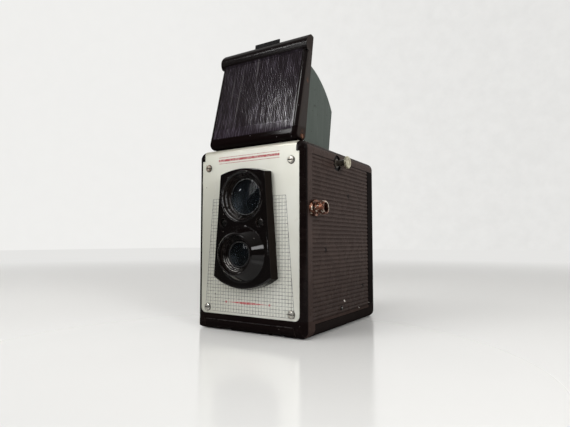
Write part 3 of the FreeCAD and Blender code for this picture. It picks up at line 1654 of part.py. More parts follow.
def back_cover():
    """The L-shaped back and base in one moulding, hinged at the front of the base."""
    body = new_body("back_cover")
    top = strip_base - s.seam_gap
    plan = rounded(-side, side, front, rear, s.corner_radius)
    pad(body, sketch_on(body, "XY", 0, plan), top)
    fillet(body, s.edge_radius, lambda middle, box: near(box.ZMax, 0))
    reach = s.knuckle_radius + s.knuckle_gap
    shoulder = s.seam_height - s.seam_gap
    rise = shoulder - knuckle_z
    foot = root(reach * reach - knuckle_z * knuckle_z)
    away = [
        (knuckle_y + foot, 0),
        Arc((knuckle_y + root(reach * reach - rise * rise), shoulder, reach, 1)),
        (seam_y + s.seam_gap, shoulder),
        (seam_y + s.seam_gap, top + PAST),
        (front - PAST, top + PAST),
        (front - PAST, -PAST),
        (knuckle_y + foot, -PAST),
    ]
    pocket(body, sketch_on(body, "YZ", 0, away), s.body_width + PAST, both=True)
    hollow = rectangle(knuckle_y + reach + s.wall, inner_rear, s.wall, top - s.wall)
    pocket(body, sketch_on(body, "YZ", 0, hollow), 2 * inner_side, both=True)
    window = sketch_on(body, "XZ", -(rear + PAST), (0, s.taking_axis, s.window_radius))
    pocket(body, window, s.wall + 2 * PAST, forward=True)
    lug = [
        (knuckle_y + reach + s.wall, s.wall / 4),
        (knuckle_y + reach + s.wall, s.lug_web),
        (knuckle_y + s.back_swing_lug, s.lug_web),
        (knuckle_y + s.back_swing_lug, knuckle_z),
        Arc((knuckle_y, knuckle_z + s.back_swing_lug, s.back_swing_lug, 1)),
        Arc((knuckle_y - s.back_swing_lug, knuckle_z, s.back_swing_lug, 1)),
        Arc((knuckle_y, knuckle_z - s.back_swing_lug, s.back_swing_lug, 1)),
        (knuckle_y + reach, knuckle_z - s.back_swing_lug),
    ]
    made = pad(body, sketch_on(body, "YZ", s.back_lug_inner, lug), s.back_lug_outer - s.back_lug_inner)
    mirror(body, made)
    pin = sketch_on(body, "YZ", 0, (knuckle_y, knuckle_z, s.back_pin_radius + s.running_gap))
    pocket(body, pin, s.body_width, both=True)


def back_hinge_pin():
    """The steel rod along the front edge of the base that the back swings on."""
    body = new_body("back_hinge_pin", at=(0, knuckle_y, knuckle_z))
    pad(body, sketch_on(body, "YZ", 0, (0, 0, s.back_pin_radius)), 2 * inner_side, both=True)


def red_window():
    """The ruby disc in the back through which the frame numbers are read."""
    body = new_body("red_window", at=(0, inner_rear, s.taking_axis))
    lip = s.window_radius + s.window_lip
    half = [
        (-s.window_thickness / 2, 0),
        (-s.window_thickness / 2, lip),
        (0, lip),
        (0, s.window_radius - s.fit_gap),
        (s.window_thickness / 2, s.window_radius - s.fit_gap),
        (s.window_thickness / 2, 0),
    ]
    revolve(body, sketch_on(body, "YZ", 0, half))


def pressure_plate():
    """The sprung plate on the back that keeps the film flat against the gate."""
    body = new_body("pressure_plate")
    face = front + s.film_plane + s.pressure_stand
    half = s.pressure_half
    outline = rounded(-half, half, s.taking_axis - half, s.taking_axis + half, s.plate_corner)
    hole = (0, s.taking_axis, s.window_radius + s.window_lip)
    pad(body, sketch_on(body, "XZ", -face, outline, hole), s.sheet, forward=False)


def pressure_springs():
    """The two bowed leaves between the pressure plate and the back."""
    body = new_body("pressure_springs")
    tip = front + s.film_plane + s.pressure_stand + s.sheet
    rise = inner_rear - tip
    chord, leaf = s.pressure_spring_chord, s.blade_sheet
    outer = (chord * chord + rise * rise) / (2 * rise)
    short = chord - leaf
    depth = rise - leaf
    inner = (short * short + depth * depth) / (2 * depth)
    middle = s.taking_axis
    bow = [
        (inner_rear, middle + chord),
        Arc((tip, middle, outer, 1)),
        Arc((inner_rear, middle - chord, outer, 1)),
        (inner_rear, middle - short),
        Arc((tip + leaf, middle, inner, -1)),
        Arc((inner_rear, middle + short, inner, -1)),
    ]
    start = s.pressure_spring_offset - s.pressure_spring_width / 2
    made = pad(body, sketch_on(body, "YZ", start, bow), s.pressure_spring_width)
    mirror(body, made)


def back_latch():
    """The turn button on the rear of the top strip; with its long arm turned down, it holds the back shut."""
    body = new_body("back_latch", at=(0, rear + s.fit_gap, latch_height))
    width = s.latch_width / 2
    outline = rounded(-s.latch_arm, width, -width, width, width - s.fit_gap)
    hole = (0, 0, shank + s.running_gap)
    pad(body, sketch_on(body, "XZ", 0, outline, hole), s.latch_sheet, forward=False)
    end = width - s.latch_arm
    grip = rectangle(end - s.latch_sheet, end, -width / 2, width / 2)
    pad(body, sketch_on(body, "XZ", -s.latch_sheet, grip), s.latch_sheet, forward=False)


def build():
    """Makes every sub-part in turn."""
    body_shell()
    front_plate()
    screws("front_plate_screws", plate_face, screw_spots, s.screw_head / 2, s.screw_crown, s.screw_reach)
    lens_board()
    pit_floor = board_face + s.board_screw_pit_depth
    length = plate_back + s.screw_reach - pit_floor
    screws("lens_board_screws", pit_floor, board_spots, s.screw_head / 2, s.screw_crown, length)
    lenses()
    shutter_plate()
    shutter_pivots()
    shutter_blade()
    side_lever("release_lever", lever_pivot, s.lever_width, s.lever_reach, s.lever_tab_radius, s.lever_width)
    side_lever("time_lever", time_pivot, s.time_width, s.time_reach, s.time_width / 2, s.time_width)
    lever_spring()
    finder_box()
    finder_mirror()
    finder_frame()
    finder_glass()
    hood_lid()
    hood_shade()
    hood_rivets()
    hood_tab()
    hood_pins()
    film_carrier()
    takeup_spool()
    spool_pins()
    tension_springs()
    side_rivets()
    winding_knob()
    winding_shaft()
    winding_bush()
    ratchet_wheel()
    ratchet_spring()
    strap_studs()
    flash_terminal()
    flash_nut()
    flash_insulator()
    flash_contact()
    back_cover()
    back_hinge_pin()
    red_window()
    pressure_plate()
    pressure_springs()
    back_latch()
    latch_reach = s.screw_reach - s.loose_gap
    face = rear + s.latch_sheet + 2 * s.fit_gap
    screws("back_latch_screw", face, [(0, latch_height)], s.latch_screw_head, s.screw_crown, latch_reach, out=-1)


def write_parts():
    """Writes every sub-part's shape to a file of its own, once all of them are sound."""
    doc.recompute()
    for thing in doc.Objects:
        if {"Invalid", "Error"} & set(thing.State):
            raise RuntimeError(f"{thing.Label} failed: {thing.State}")
    for thing in nodes:
        if thing.Shape.isNull() or not thing.Shape.isValid():
            raise RuntimeError(f"{thing.Label} has no sound shape")
    os.makedirs("parts", exist_ok=True)
    for thing in nodes:
        thing.Shape.exportStep(f"parts/{thing.Label}.step")


build()
write_parts()
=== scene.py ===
import math

import bpy
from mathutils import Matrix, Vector

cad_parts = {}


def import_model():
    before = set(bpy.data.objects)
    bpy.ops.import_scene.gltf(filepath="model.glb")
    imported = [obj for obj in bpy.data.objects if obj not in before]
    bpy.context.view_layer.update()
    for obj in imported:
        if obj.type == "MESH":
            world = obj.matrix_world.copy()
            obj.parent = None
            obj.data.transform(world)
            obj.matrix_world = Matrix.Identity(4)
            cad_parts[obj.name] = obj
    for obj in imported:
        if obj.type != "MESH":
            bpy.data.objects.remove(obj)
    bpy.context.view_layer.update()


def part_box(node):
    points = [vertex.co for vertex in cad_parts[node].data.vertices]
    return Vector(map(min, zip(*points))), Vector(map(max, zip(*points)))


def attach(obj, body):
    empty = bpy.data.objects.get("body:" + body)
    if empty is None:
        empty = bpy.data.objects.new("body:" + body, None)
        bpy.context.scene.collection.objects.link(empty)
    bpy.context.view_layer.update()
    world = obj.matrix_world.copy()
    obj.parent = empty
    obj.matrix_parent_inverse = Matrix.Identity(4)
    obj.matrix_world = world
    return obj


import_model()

MM = 0.001
SIDES = (-1, 1)
METAL_BEVEL = 0.12 * MM


# ---- node trees ---------------------------------------------------------------------------


class Socket:
    """One output of a node; arithmetic on it adds the Math nodes that work the result out."""

    def __init__(self, graph, output):
        self.graph = graph
        self.output = output

    def math(self, operation, *values):
        return self.graph.node("ShaderNodeMath", {"operation": operation}, dict(enumerate(values)))

    def __add__(self, other):
        return self.math("ADD", self, other)

    __radd__ = __add__

    def __sub__(self, other):
        return self.math("SUBTRACT", self, other)

    def __rsub__(self, other):
        return self.math("SUBTRACT", other, self)

    def __mul__(self, other):
        return self.math("MULTIPLY", self, other)

    __rmul__ = __mul__

    def __truediv__(self, other):
        return self.math("DIVIDE", self, other)

    def __rtruediv__(self, other):
        return self.math("DIVIDE", other, self)

    def __pow__(self, power):
        return self.math("POWER", self, power)

    def __abs__(self):
        return self.math("ABSOLUTE", self)

    def __gt__(self, other):
        return self.math("GREATER_THAN", self, other)

    def __lt__(self, other):
        return self.math("LESS_THAN", self, other)

    def least(self, other):
        return self.math("MINIMUM", self, other)

    def most(self, other):
        return self.math("MAXIMUM", self, other)

    def root(self):
        return self.math("SQRT", self)

    def wave(self, period):
        """Distance to the nearest multiple of the period."""
        return self.math("PINGPONG", self, period / 2)

    def rise(self, start, end, low=0.0, high=1.0):
        """A smooth step from low to high as the value goes from start to end."""
        settings = {"interpolation_type": "SMOOTHSTEP", "clamp": True}
        ends = {"From Min": start, "From Max": end, "To Min": low, "To Max": high}
        return self.graph.node("ShaderNodeMapRange", settings, {"Value": self, **ends})


class Graph:
    """A node tree being written."""

    def __init__(self, tree):
        self.tree = tree

    def node(self, kind, settings=None, sockets=None, out=0):
        """Adds a node, with its settings first and then the values or links of its sockets.

        A list links several values to one socket. Gives one of the node's outputs."""
        made = self.tree.nodes.new(kind)
        for name, value in (settings or {}).items():
            setattr(made, name, value)
        for place, value in (sockets or {}).items():
            for one in value if isinstance(value, list) else [value]:
                if isinstance(one, Socket):
                    self.tree.links.new(one.output, made.inputs[place])
                else:
                    made.inputs[place].default_value = one
        return Socket(self, made.outputs[out]) if made.outputs else None

    def vector(self, x, y, z):
        return self.node("ShaderNodeCombineXYZ", None, {0: x, 1: y, 2: z})

    def parts(self, vector):
        """The three numbers of a vector."""
        return [self.node("ShaderNodeSeparateXYZ", None, {0: vector}, axis) for axis in range(3)]

    def rays(self, *kinds):
        """Masks of the kinds of ray that are being traced."""
        return [self.node("ShaderNodeLightPath", None, None, kind) for kind in kinds]


def opaque(colour):
    """A colour's three numbers with a full alpha; a link stays as it is."""
    return (*colour, 1.0) if isinstance(colour, tuple) else colour


class Finish(Graph):
    """A material: what its surface reads, and the shader that shows it."""

    def __init__(self, name, bevel=0.25 * MM):
        self.material = bpy.data.materials.new(name)
        self.material.use_nodes = True
        super().__init__(self.material.node_tree)
        self.tree.nodes.clear()
        self.place = self.node("ShaderNodeTexCoord", None, None, "Object")
        self.x, self.y, self.z = self.parts(self.place)
        self.bevel = bevel

    def facing(self, axis):
        """How far the surface faces one way, from -1 to 1."""
        turned = self.node("ShaderNodeTexCoord", None, None, "Normal")
        return self.node("ShaderNodeSeparateXYZ", None, {0: turned}, axis)

    def turned_aside(self):
        """A mask of the faces that look to the left or the right, whatever their tilt."""
        across, along = (abs(self.facing(axis)) for axis in (0, 1))
        level = (across ** 2.0 + along ** 2.0 + 0.0001).root()
        return (across / level).rise(0.93, 0.985) * across.rise(0.1, 0.5)

    def above(self, height, blur):
        return self.z.rise(height - blur, height + blur)

    def below(self, height, blur):
        return self.z.rise(height + blur, height - blur)

    def inside(self, half, blur):
        """A mask of what is within half a width of the middle."""
        return abs(self.x).rise(half + blur, half - blur)

    def noise(self, scale, detail=3.0, roughness=0.5, place=None, distortion=0.0):
        sockets = {"Vector": place or self.place, "Scale": scale, "Detail": detail,
                   "Roughness": roughness, "Distortion": distortion}
        return self.node("ShaderNodeTexNoise", None, sockets)

    def grain(self, scales, detail=3.0, roughness=0.5, distortion=0.0):
        """Noise with a scale for each axis, which draws it out along the smallest one."""
        sockets = {0: self.place, 1: scales}
        place = self.node("ShaderNodeVectorMath", {"operation": "MULTIPLY"}, sockets)
        return self.noise(1.0, detail, roughness, place, distortion)

    def patches(self, scale, start, end, detail=4.0, roughness=0.6):
        """A mask of irregular patches, where the noise goes from start to end."""
        return self.noise(scale, detail, roughness).rise(start, end)

    def cells(self, scale, feature="F1", out="Distance"):
        sockets = {"Vector": self.place, "Scale": scale, "Randomness": 1.0}
        return self.node("ShaderNodeTexVoronoi", {"feature": feature}, sockets, out)

    def mix(self, factor, first, second):
        """Blends two colours."""
        sockets = {"Factor": factor, 6: opaque(first), 7: opaque(second)}
        return self.node("ShaderNodeMix", {"data_type": "RGBA", "clamp_factor": True}, sockets, 2)

    def specks(self, scale, size, share):
        """A mask of small round specks of one size, in a share of the cells."""
        distance = self.cells(scale)
        chance = self.node("ShaderNodeSeparateColor", None, {0: self.cells(scale, out="Color")})
        return distance.rise(size, size * 0.6) * (chance < share)

    def spots(self, marks, reach, softness=0.4):
        """A mask of the marks on a side, grown by a reach and blurred at their rims."""
        found = None
        for mark in marks:
            across, up, wide, tall = (size * MM for size in mark)
            one = (((self.y - across) / wide) ** 2.0 + ((self.z - up) / tall) ** 2.0).root()
            found = one if found is None else found.least(one)
        return found.rise(reach * (1.0 + softness), reach * (1.0 - softness))

    def edges(self, reach):
        """A mask of the solid's edges, from how far a rounded normal leans."""
        rounded = self.node("ShaderNodeBevel", {"samples": 4}, {"Radius": reach})
        flat = self.node("ShaderNodeNewGeometry", None, None, "Normal")
        sockets = {0: rounded, 1: flat}
        lean = self.node("ShaderNodeVectorMath", {"operation": "DOT_PRODUCT"}, sockets, "Value")
        return (1.0 - lean).rise(0.04, 0.22)

    def shader(self, colour, roughness, height=None, depth=0.05 * MM, **sockets):
        """The surface shader; height is raised or sunk by the depth given."""
        normal = None
        if self.bevel:
            normal = self.node("ShaderNodeBevel", {"samples": 4}, {"Radius": self.bevel})
        if height is not None:
            bump = {"Strength": 1.0, "Distance": depth, "Height": height}
            if normal is not None:
                bump["Normal"] = normal
            normal = self.node("ShaderNodeBump", None, bump)
        places = {"Base Color": opaque(colour), "Roughness": roughness}
        if normal is not None:
            places["Normal"] = normal
        for name, value in sockets.items():
            places[name.replace("_", " ").title().replace("Ior", "IOR")] = value
        return self.node("ShaderNodeBsdfPrincipled", None, places)

    def part_polished(self, polish, colour, roughness, height, depth):
        """Ends the material with a glossy skin, partly off, over the same colour without gloss."""
        glossy = self.shader(colour, roughness, height, depth, specular_ior_level=0.5)
        plain = self.shader(colour, 0.6, height, depth, specular_ior_level=0.0)
        self.show(self.node("ShaderNodeMixShader", None, {0: polish, 1: plain, 2: glossy}))
        return self.material

    def show(self, surface):
        self.node("ShaderNodeOutputMaterial", None, {"Surface": surface})

    def finish(self, colour, roughness, height=None, depth=0.05 * MM, **sockets):
        """Ends the material with one shader."""
        self.show(self.shader(colour, roughness, height, depth, **sockets))
        return self.material


def dress(finish, *nodes):
    """Gives CAD nodes a material."""
    for name in nodes:
        for slot in bpy.data.objects[name].material_slots:
            slot.material = finish


# ---- finishes -----------------------------------------------------------------------------

FINDER_AXIS = 85.8 * MM
TAKING_AXIS = 49.7 * MM
BETWEEN_LENSES = 70.0 * MM
RIB_CREST = 41.6 * MM
BEYOND_RIBS = 1.0
FOOT_TOP = 10.6 * MM
FOOT_HIGHLIGHT_LINE = 6.9 * MM
RAIL = 117.0 * MM
SHEET_ROLL = 116.0 * MM
LID_FIELD_FOOT, LID_BAND, LID_ROLL = 126.7 * MM, 128.3 * MM, 181.2 * MM

# Marks on a side: place from front to back, height, half width and half height, in mm.
DARK_MARKS = (
    (6.4, 89.1, 1.0, 1.4), (-28.8, 52.2, 1.0, 1.5), (31.2, 25.5, 1.1, 1.4), (-10.0, 70.0, 0.5, 0.4),
)
CHIPS = ((-1.0, 17.4, 0.8, 0.9), (41.8, 11.7, 0.6, 0.5), (23.8, 10.0, 0.5, 0.4))
LID_RUST = ((-46.3, 122.5, 2.6, 3.4), (-39.5, 160.0, 1.2, 1.6))

BLACK = (0.0042, 0.0025, 0.0024)
BOARD_BLACK = (0.0026, 0.0018, 0.0017)
KNOB_BLACK = (0.006, 0.004, 0.0035)
BROWN = (0.048, 0.0325, 0.028)
DARK_BROWN = (0.0105, 0.0080, 0.0066)
COVER_SHADE_BROWN = (0.015, 0.012, 0.011)
KNOB_BROWN = (0.026, 0.014, 0.011)
WORN_EDGE_AND_HIGHLIGHT = (0.125, 0.105, 0.098)
DUST = (0.30, 0.28, 0.25)
CHIPPED = (0.75, 0.70, 0.64)
HIGHLIGHT_LINE_GREY = (0.11, 0.10, 0.10)
ARC_HIGHLIGHT_GREY = (0.13, 0.127, 0.127)
TEETH_HIGHLIGHT = (0.72, 0.70, 0.67)


def side_marks(paint, colour, turned, black):
    """Dark marks and pale chips on the right side, and a painted highlight line along the front's
    foot.
    """
    right = turned * (paint.x > 0.0)
    # Dark marks painted near black on the right side.
    colour = paint.mix(paint.spots(DARK_MARKS, 1.15) * right, colour, black)
    colour = paint.mix(paint.spots(CHIPS, 0.8) * right, colour, CHIPPED)
    # A painted highlight: a thin pale line across the front's foot.
    painted_highlight_line = abs(paint.z - FOOT_HIGHLIGHT_LINE).rise(0.32 * MM, 0.16 * MM) * paint.inside(34.0 * MM, 0.5 * MM)
    painted_highlight_line = painted_highlight_line * paint.facing(1).rise(-0.7, -0.9) * paint.patches(200.0, 0.35, 0.55, 3.0)
    return paint.mix(painted_highlight_line * 0.5, colour, HIGHLIGHT_LINE_GREY)


def painted_highlight_arcs(paint, colour, axis):
    """Painted highlights: arcs on the steps of the well round a lens at that height, low on its
    left.
    """
    out = (paint.x ** 2.0 + (paint.z - axis) ** 2.0).root()
    # Painted highlights on the step edges, one arc for each step.
    arc = out.wave(1.25 * MM).rise(0.30 * MM, 0.14 * MM)
    arc = arc * out.rise(11.8 * MM, 12.2 * MM) * out.rise(17.2 * MM, 16.8 * MM)
    low_left = (paint.x * 0.9 + (paint.z - axis) * 0.45).rise(-9.5 * MM, -13.5 * MM)
    arc = arc * low_left * paint.patches(500.0, 0.35, 0.6, 3.0)
    return paint.mix(arc, colour, ARC_HIGHLIGHT_GREY)


def moulding(name, black, brown, polish, side_polish, rib=0.0, roughness=0.08, dust=0.5, wear=0.4,
             bevel=0.25 * MM, arcs=0.0):
    """Phenolic moulding: near black and polished in front, brown and dull on its sides.

    Dust lies on it, and its edges are worn and painted lighter, which also stands as a painted
    highlight along them. Rib is how far out the ribs of a side reach: every face below the crests,
    the grooves between the ribs among them, is painted black as shade, the brown is painted darker
    towards the bottom as shade, the foot is scuffed, and the side has its marks. Arcs is the height
    of the lens whose well gets painted highlight arcs."""
    paint = Finish(name, bevel)
    turned = paint.turned_aside()
    ribbed = 1.0 if rib else 0.0
    foot = paint.below(FOOT_TOP, 0.4 * MM) * ribbed
    # Painted shade: only the outermost faces of a side take the brown, so the grooves between the
    # ribs and the faces set back from them stay black.
    crest = abs(paint.x).rise(rib - 0.5 * MM, rib - 0.03 * MM)
    brown_faces = turned * crest.most(foot).most(paint.above(RAIL, MM) * ribbed)
    flow = paint.grain((25.0, 160.0, 220.0), distortion=0.4).rise(0.4, 0.7)
    cloud = paint.patches(70.0, 0.35, 0.7)
    # Painted shade: the brown of the sides grows darker towards the bottom.
    shaded = 0.72 + paint.above(30.0 * MM, 25.0 * MM) * 0.28
    browned = brown_faces * (0.8 + cloud * 0.2) * shaded + flow * 0.06 * (1.0 - turned)
    colour = paint.mix(browned, black, brown)
    # Worn edges painted lighter: partly wear, partly a painted highlight along the edges.
    worn = paint.edges(0.5 * MM) * paint.patches(320.0, 0.45, 0.62) * (1.0 - turned * 0.85)
    colour = paint.mix(worn * wear, colour, WORN_EDGE_AND_HIGHLIGHT)
    grime = paint.patches(900.0, 0.5, 0.8, 3.0, 0.7)
    specks = paint.specks(420.0, 0.12, 0.07)
    colour = paint.mix(specks * dust, colour, DUST)
    if rib:
        colour = side_marks(paint, colour, turned, black)
    if arcs:
        colour = painted_highlight_arcs(paint, colour, arcs)
    shine = (polish + turned * (side_polish - polish)) * (1.0 - foot * 0.75)
    rough = roughness + turned * 0.12 + cloud * 0.03 + grime * 0.04
    return paint.part_polished(shine, colour, rough, grime * 0.25 + specks, 0.012 * MM)


def serration_finish():
    """The teeth round the taking lens: black moulding, with pale painted highlights on the lower
    left ones.
    """
    paint = Finish("serrations", 0.1 * MM)
    # Painted highlights: the lower left teeth are painted pale.
    painted_glints = (paint.z - TAKING_AXIS).rise(0.0, -5.0 * MM) * paint.x.rise(6.0 * MM, -2.0 * MM)
    painted_glints = painted_glints * paint.patches(600.0, 0.35, 0.6, 3.0)
    colour = paint.mix(painted_glints * 0.9, BLACK, TEETH_HIGHLIGHT)
    return paint.part_polished(0.8, colour, 0.1 + painted_glints * 0.3, painted_glints, 0.02 * MM)


VIOLET = (0.055, 0.044, 0.059)
LID_BROWN = (0.029, 0.0235, 0.0215)
RUST_STAIN = (0.10, 0.04, 0.02)
LID_DUST = (0.28, 0.26, 0.27)


def reeded_finish():
    """The hood lid: a finely reeded field with a violet colour and light streaks, partly dust and
    partly painted sheen, black rims and brown dull sides.
    """
    paint = Finish("hood_moulding")
    field = paint.facing(1).rise(-0.75, -0.9) * paint.inside(31.3 * MM, 0.5 * MM)
    field = field * paint.above(LID_FIELD_FOOT, 0.5 * MM) * paint.below(LID_ROLL, 0.6 * MM)
    turned = abs(paint.facing(0)).rise(0.8, 0.95)
    lines = paint.grain((2100.0, 110.0, 110.0), roughness=0.6, distortion=0.1)
    streak = lines.rise(0.48, 0.64)
    broad = paint.grain((160.0, 30.0, 30.0)).rise(0.3, 0.7)
    # Painted sheen: the violet colour and the light streaks of the field, partly dust on the reeds.
    sheen = field * (0.18 + streak * (0.42 + broad * 0.42) + broad * 0.1)
    colour = paint.mix(sheen, BLACK, VIOLET)
    colour = paint.mix(turned, colour, LID_BROWN)
    rust = paint.spots(LID_RUST, 1.0, 0.5) * turned * paint.patches(900.0, 0.4, 0.6)
    colour = paint.mix(rust * 0.7, colour, RUST_STAIN)
    scratch = paint.grain((700.0, 14.0, 14.0), 2.0, 0.4).rise(0.68, 0.71) * field
    specks = paint.specks(480.0, 0.13, 0.10)
    colour = paint.mix((specks * 0.6 + scratch * 0.3).least(1.0), colour, LID_DUST)
    roll = paint.above(LID_ROLL, 0.6 * MM)
    band = paint.below(LID_BAND, 0.5 * MM)
    low = paint.below(133.5 * MM, 5.0 * MM) * field
    polish = (0.8 - turned * 0.6) * (1.0 - field * (0.9 - streak * 0.9))
    polish = polish * (1.0 - roll * 0.65) * (1.0 - band * 0.9) * (1.0 - low * 0.65)
    rough = 0.10 + field * (0.06 + broad * 0.03) + turned * 0.12 + roll * 0.12
    return paint.part_polished(polish, colour, rough, lines * field + specks * 0.1, 0.03 * MM)


SHEET_DULL, SHEET_PALE = (0.64, 0.635, 0.565), (0.71, 0.71, 0.65)
SHEET_TAN_AND_SHADE = (0.46, 0.455, 0.365)
ROLL_DIRT = (0.40, 0.37, 0.29)
SHEET_STAIN = (0.40, 0.34, 0.24)
SHEET_SPECK = (0.10, 0.08, 0.07)
SHEET_SCRATCH = (0.9, 0.9, 0.88)
SHEET_THROUGH_INK = (0.70, 0.70, 0.66)


def sheet_finish():
    """The pale front sheet: satin, a little stained and scratched, dulled along its rolled edge,
    and darker and yellower to the left, partly tan and partly painted shade.
    """
    paint = Finish("front_sheet")
    cloud = paint.patches(35.0, 0.3, 0.75, 3.0, 0.5)
    colour = paint.mix(cloud, SHEET_DULL, SHEET_PALE)
    # Darker and yellower to the left: partly tan, partly painted shade.
    tan_and_shade = paint.x.rise(-6.0 * MM, -38.0 * MM) * (0.75 + cloud * 0.25)
    colour = paint.mix(tan_and_shade * 0.6, colour, SHEET_TAN_AND_SHADE)
    colour = paint.mix(paint.above(SHEET_ROLL, 1.2 * MM) * 0.6, colour, ROLL_DIRT)
    stain = paint.patches(220.0, 0.62, 0.78, 5.0, 0.65)
    colour = paint.mix(stain * 0.35, colour, SHEET_STAIN)
    colour = paint.mix(paint.specks(230.0, 0.15, 0.09) * 0.8, colour, SHEET_SPECK)
    scratch = paint.grain((2500.0, 2500.0, 90.0), 2.0).rise(0.70, 0.76)
    colour = paint.mix(scratch * 0.3, colour, SHEET_SCRATCH)
    rough = 0.33 + cloud * 0.05 + stain * 0.2
    return paint.finish(colour, rough, scratch * -1.0 + stain * 0.4, 0.01 * MM, metallic=0.5)


def ink_finish(name, colour, wear):
    """Printing ink, thin and broken where it has worn."""
    paint = Finish(name, bevel=0)
    thin = paint.patches(700.0, 0.40, 0.62, roughness=0.7)
    return paint.finish(paint.mix(thin * wear, colour, SHEET_THROUGH_INK), 0.5)


def metal_finish(name, bright, dull, roughness, spots=0.3, rust=(0.16, 0.06, 0.02)):
    """Bare or plated metal with tarnish in patches and rust or grime in spots."""
    paint = Finish(name, METAL_BEVEL)
    patch = paint.patches(250.0, 0.35, 0.7)
    pits = paint.patches(700.0, 0.60 - 0.12 * spots, 0.72, 5.0, 0.7)
    colour = paint.mix(pits * min(1.0, spots * 2.0), paint.mix(patch, bright, dull), rust)
    rough = roughness + patch * 0.15 + pits * 0.35
    metal = 1.0 - pits * min(1.0, spots * 1.5)
    return paint.finish(colour, rough, pits * -1.0 + patch * 0.3, 0.03 * MM, metallic=metal)


def lacquer_finish(name, colour, chip, roughness, grain=0.3):
    """Matt lacquer on sheet steel, with a fine grain, chipped at its edges."""
    paint = Finish(name, 0.2 * MM)
    cloud = paint.patches(120.0, 0.3, 0.75)
    light = tuple(min(1.0, level * 1.6 + 0.004) for level in colour)
    chips = paint.edges(0.35 * MM) * paint.patches(450.0, 0.52, 0.58, roughness=0.65)
    specks = paint.specks(520.0, 0.2, 0.07)
    shown = paint.mix((chips + specks * 0.8).least(1.0), paint.mix(cloud, colour, light), chip)
    height = paint.noise(2600.0, 2.0) * grain - chips * 0.5
    return paint.finish(shown, roughness + cloud * 0.1, height, 0.02 * MM, specular_ior_level=0.3)


HOOD_GREEN, HOOD_PALE_GREEN = (0.036, 0.048, 0.040), (0.066, 0.080, 0.069)
HOOD_BLOT = (0.012, 0.012, 0.011)
HOOD_CHIP = (0.02, 0.018, 0.015)


def wing_finish():
    """Grey-green crinkled paint on the hood's sheet, streaked and speckled black."""
    paint = Finish("hood_paint")
    cloud = paint.patches(70.0, 0.3, 0.75)
    streak = paint.grain((400.0, 500.0, 40.0), roughness=0.6).rise(0.40, 0.72)
    colour = paint.mix(cloud * 0.5 + streak * 0.5, HOOD_GREEN, HOOD_PALE_GREEN)
    blots = paint.specks(330.0, 0.17, 0.12) + paint.patches(230.0, 0.67, 0.72, 3.0) * 0.8
    colour = paint.mix(blots.least(1.0) * 0.85, colour, HOOD_BLOT)
    chips = paint.edges(0.3 * MM) * paint.patches(500.0, 0.5, 0.6)
    colour = paint.mix(chips, colour, HOOD_CHIP)
    crinkle = paint.cells(1500.0, "SMOOTH_F1")
    return paint.finish(colour, 0.42 + cloud * 0.12, crinkle, 0.03 * MM, specular_ior_level=0.25)


SCREW_BRIGHT, SCREW_DULL = (0.72, 0.70, 0.64), (0.46, 0.42, 0.34)
SCREW_RUST = (0.17, 0.085, 0.035)
SLOT_SHADE = (0.012, 0.010, 0.008)


def screw_finish():
    """Nickel screw heads with painted shade in their slots and round their rims, one of them gone
    to rust.
    """
    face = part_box("front_plate_screws")[0][1]
    paint = Finish("screw_nickel", METAL_BEVEL)
    patch = paint.patches(500.0, 0.35, 0.7)
    colour = paint.mix(patch, SCREW_BRIGHT, SCREW_DULL)
    rusty = (paint.x < -20.0 * MM) * (paint.z > 80.0 * MM)
    colour = paint.mix(rusty * (0.35 + patch * 0.5), colour, SCREW_RUST)
    # Painted shade: the deeper parts, the slots and the rims, are painted near black.
    deep = paint.y.rise(face + 0.30 * MM, face + 0.55 * MM)
    colour = paint.mix(deep * 0.92, colour, SLOT_SHADE)
    rough = 0.24 + patch * 0.15 + deep * 0.3 + rusty * 0.2
    return paint.finish(colour, rough, patch, 0.02 * MM, metallic=0.9 - deep * 0.8)


RIVET_BLACK, RIVET_DEEP_BLACK = (0.010, 0.009, 0.009), (0.004, 0.003, 0.003)
RIVET_HIGHLIGHT = (0.80, 0.78, 0.74)


def rivet_finish():
    """Blackened rivets with a painted highlight, a bright point on the crown."""
    low, high = (Vector(corner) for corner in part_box("side_rivets"))
    middle = (low + high) / 2 / MM
    paint = Finish("rivet_black", METAL_BEVEL)
    patch = paint.patches(700.0, 0.35, 0.7)
    # A painted highlight: a bright point on the crown.
    point = paint.spots([(middle.y - 0.3, middle.z + 0.2, 1.0, 1.0)], 0.38, 0.3)
    colour = paint.mix(patch, RIVET_BLACK, RIVET_DEEP_BLACK)
    colour = paint.mix(point, colour, RIVET_HIGHLIGHT)
    return paint.finish(colour, 0.25 + patch * 0.1, patch, 0.01 * MM, metallic=0.8)


STUD_PALE, STUD_DULL = (0.70, 0.67, 0.54), (0.40, 0.36, 0.25)
STUD_RING = (0.20, 0.17, 0.11)
STUD_SHANK = (0.016, 0.010, 0.009)


def stud_finish():
    """The strap studs: pale worn nickel heads, on shanks painted near black."""
    low, high = (Vector(corner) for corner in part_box("strap_studs"))
    centre = (low + high) / 2
    paint = Finish("stud_nickel", METAL_BEVEL)
    patch = paint.patches(700.0, 0.35, 0.65, roughness=0.65)
    out = ((paint.y - centre.y) ** 2.0 + (paint.z - centre.z) ** 2.0).root()
    ring = abs(out - 2.0 * MM).rise(0.5 * MM, 0.2 * MM)
    colour = paint.mix(ring * 0.5, paint.mix(patch, STUD_PALE, STUD_DULL), STUD_RING)
    # The shanks and flanges under the heads are painted near black.
    shank = abs(paint.x).rise(high.x - 1.5 * MM, high.x - 2.2 * MM)
    colour = paint.mix(shank * 0.93, colour, STUD_SHANK)
    metal = 0.75 - shank * 0.6
    return paint.finish(colour, 0.34 + patch * 0.15, patch - ring, 0.05 * MM, metallic=metal)


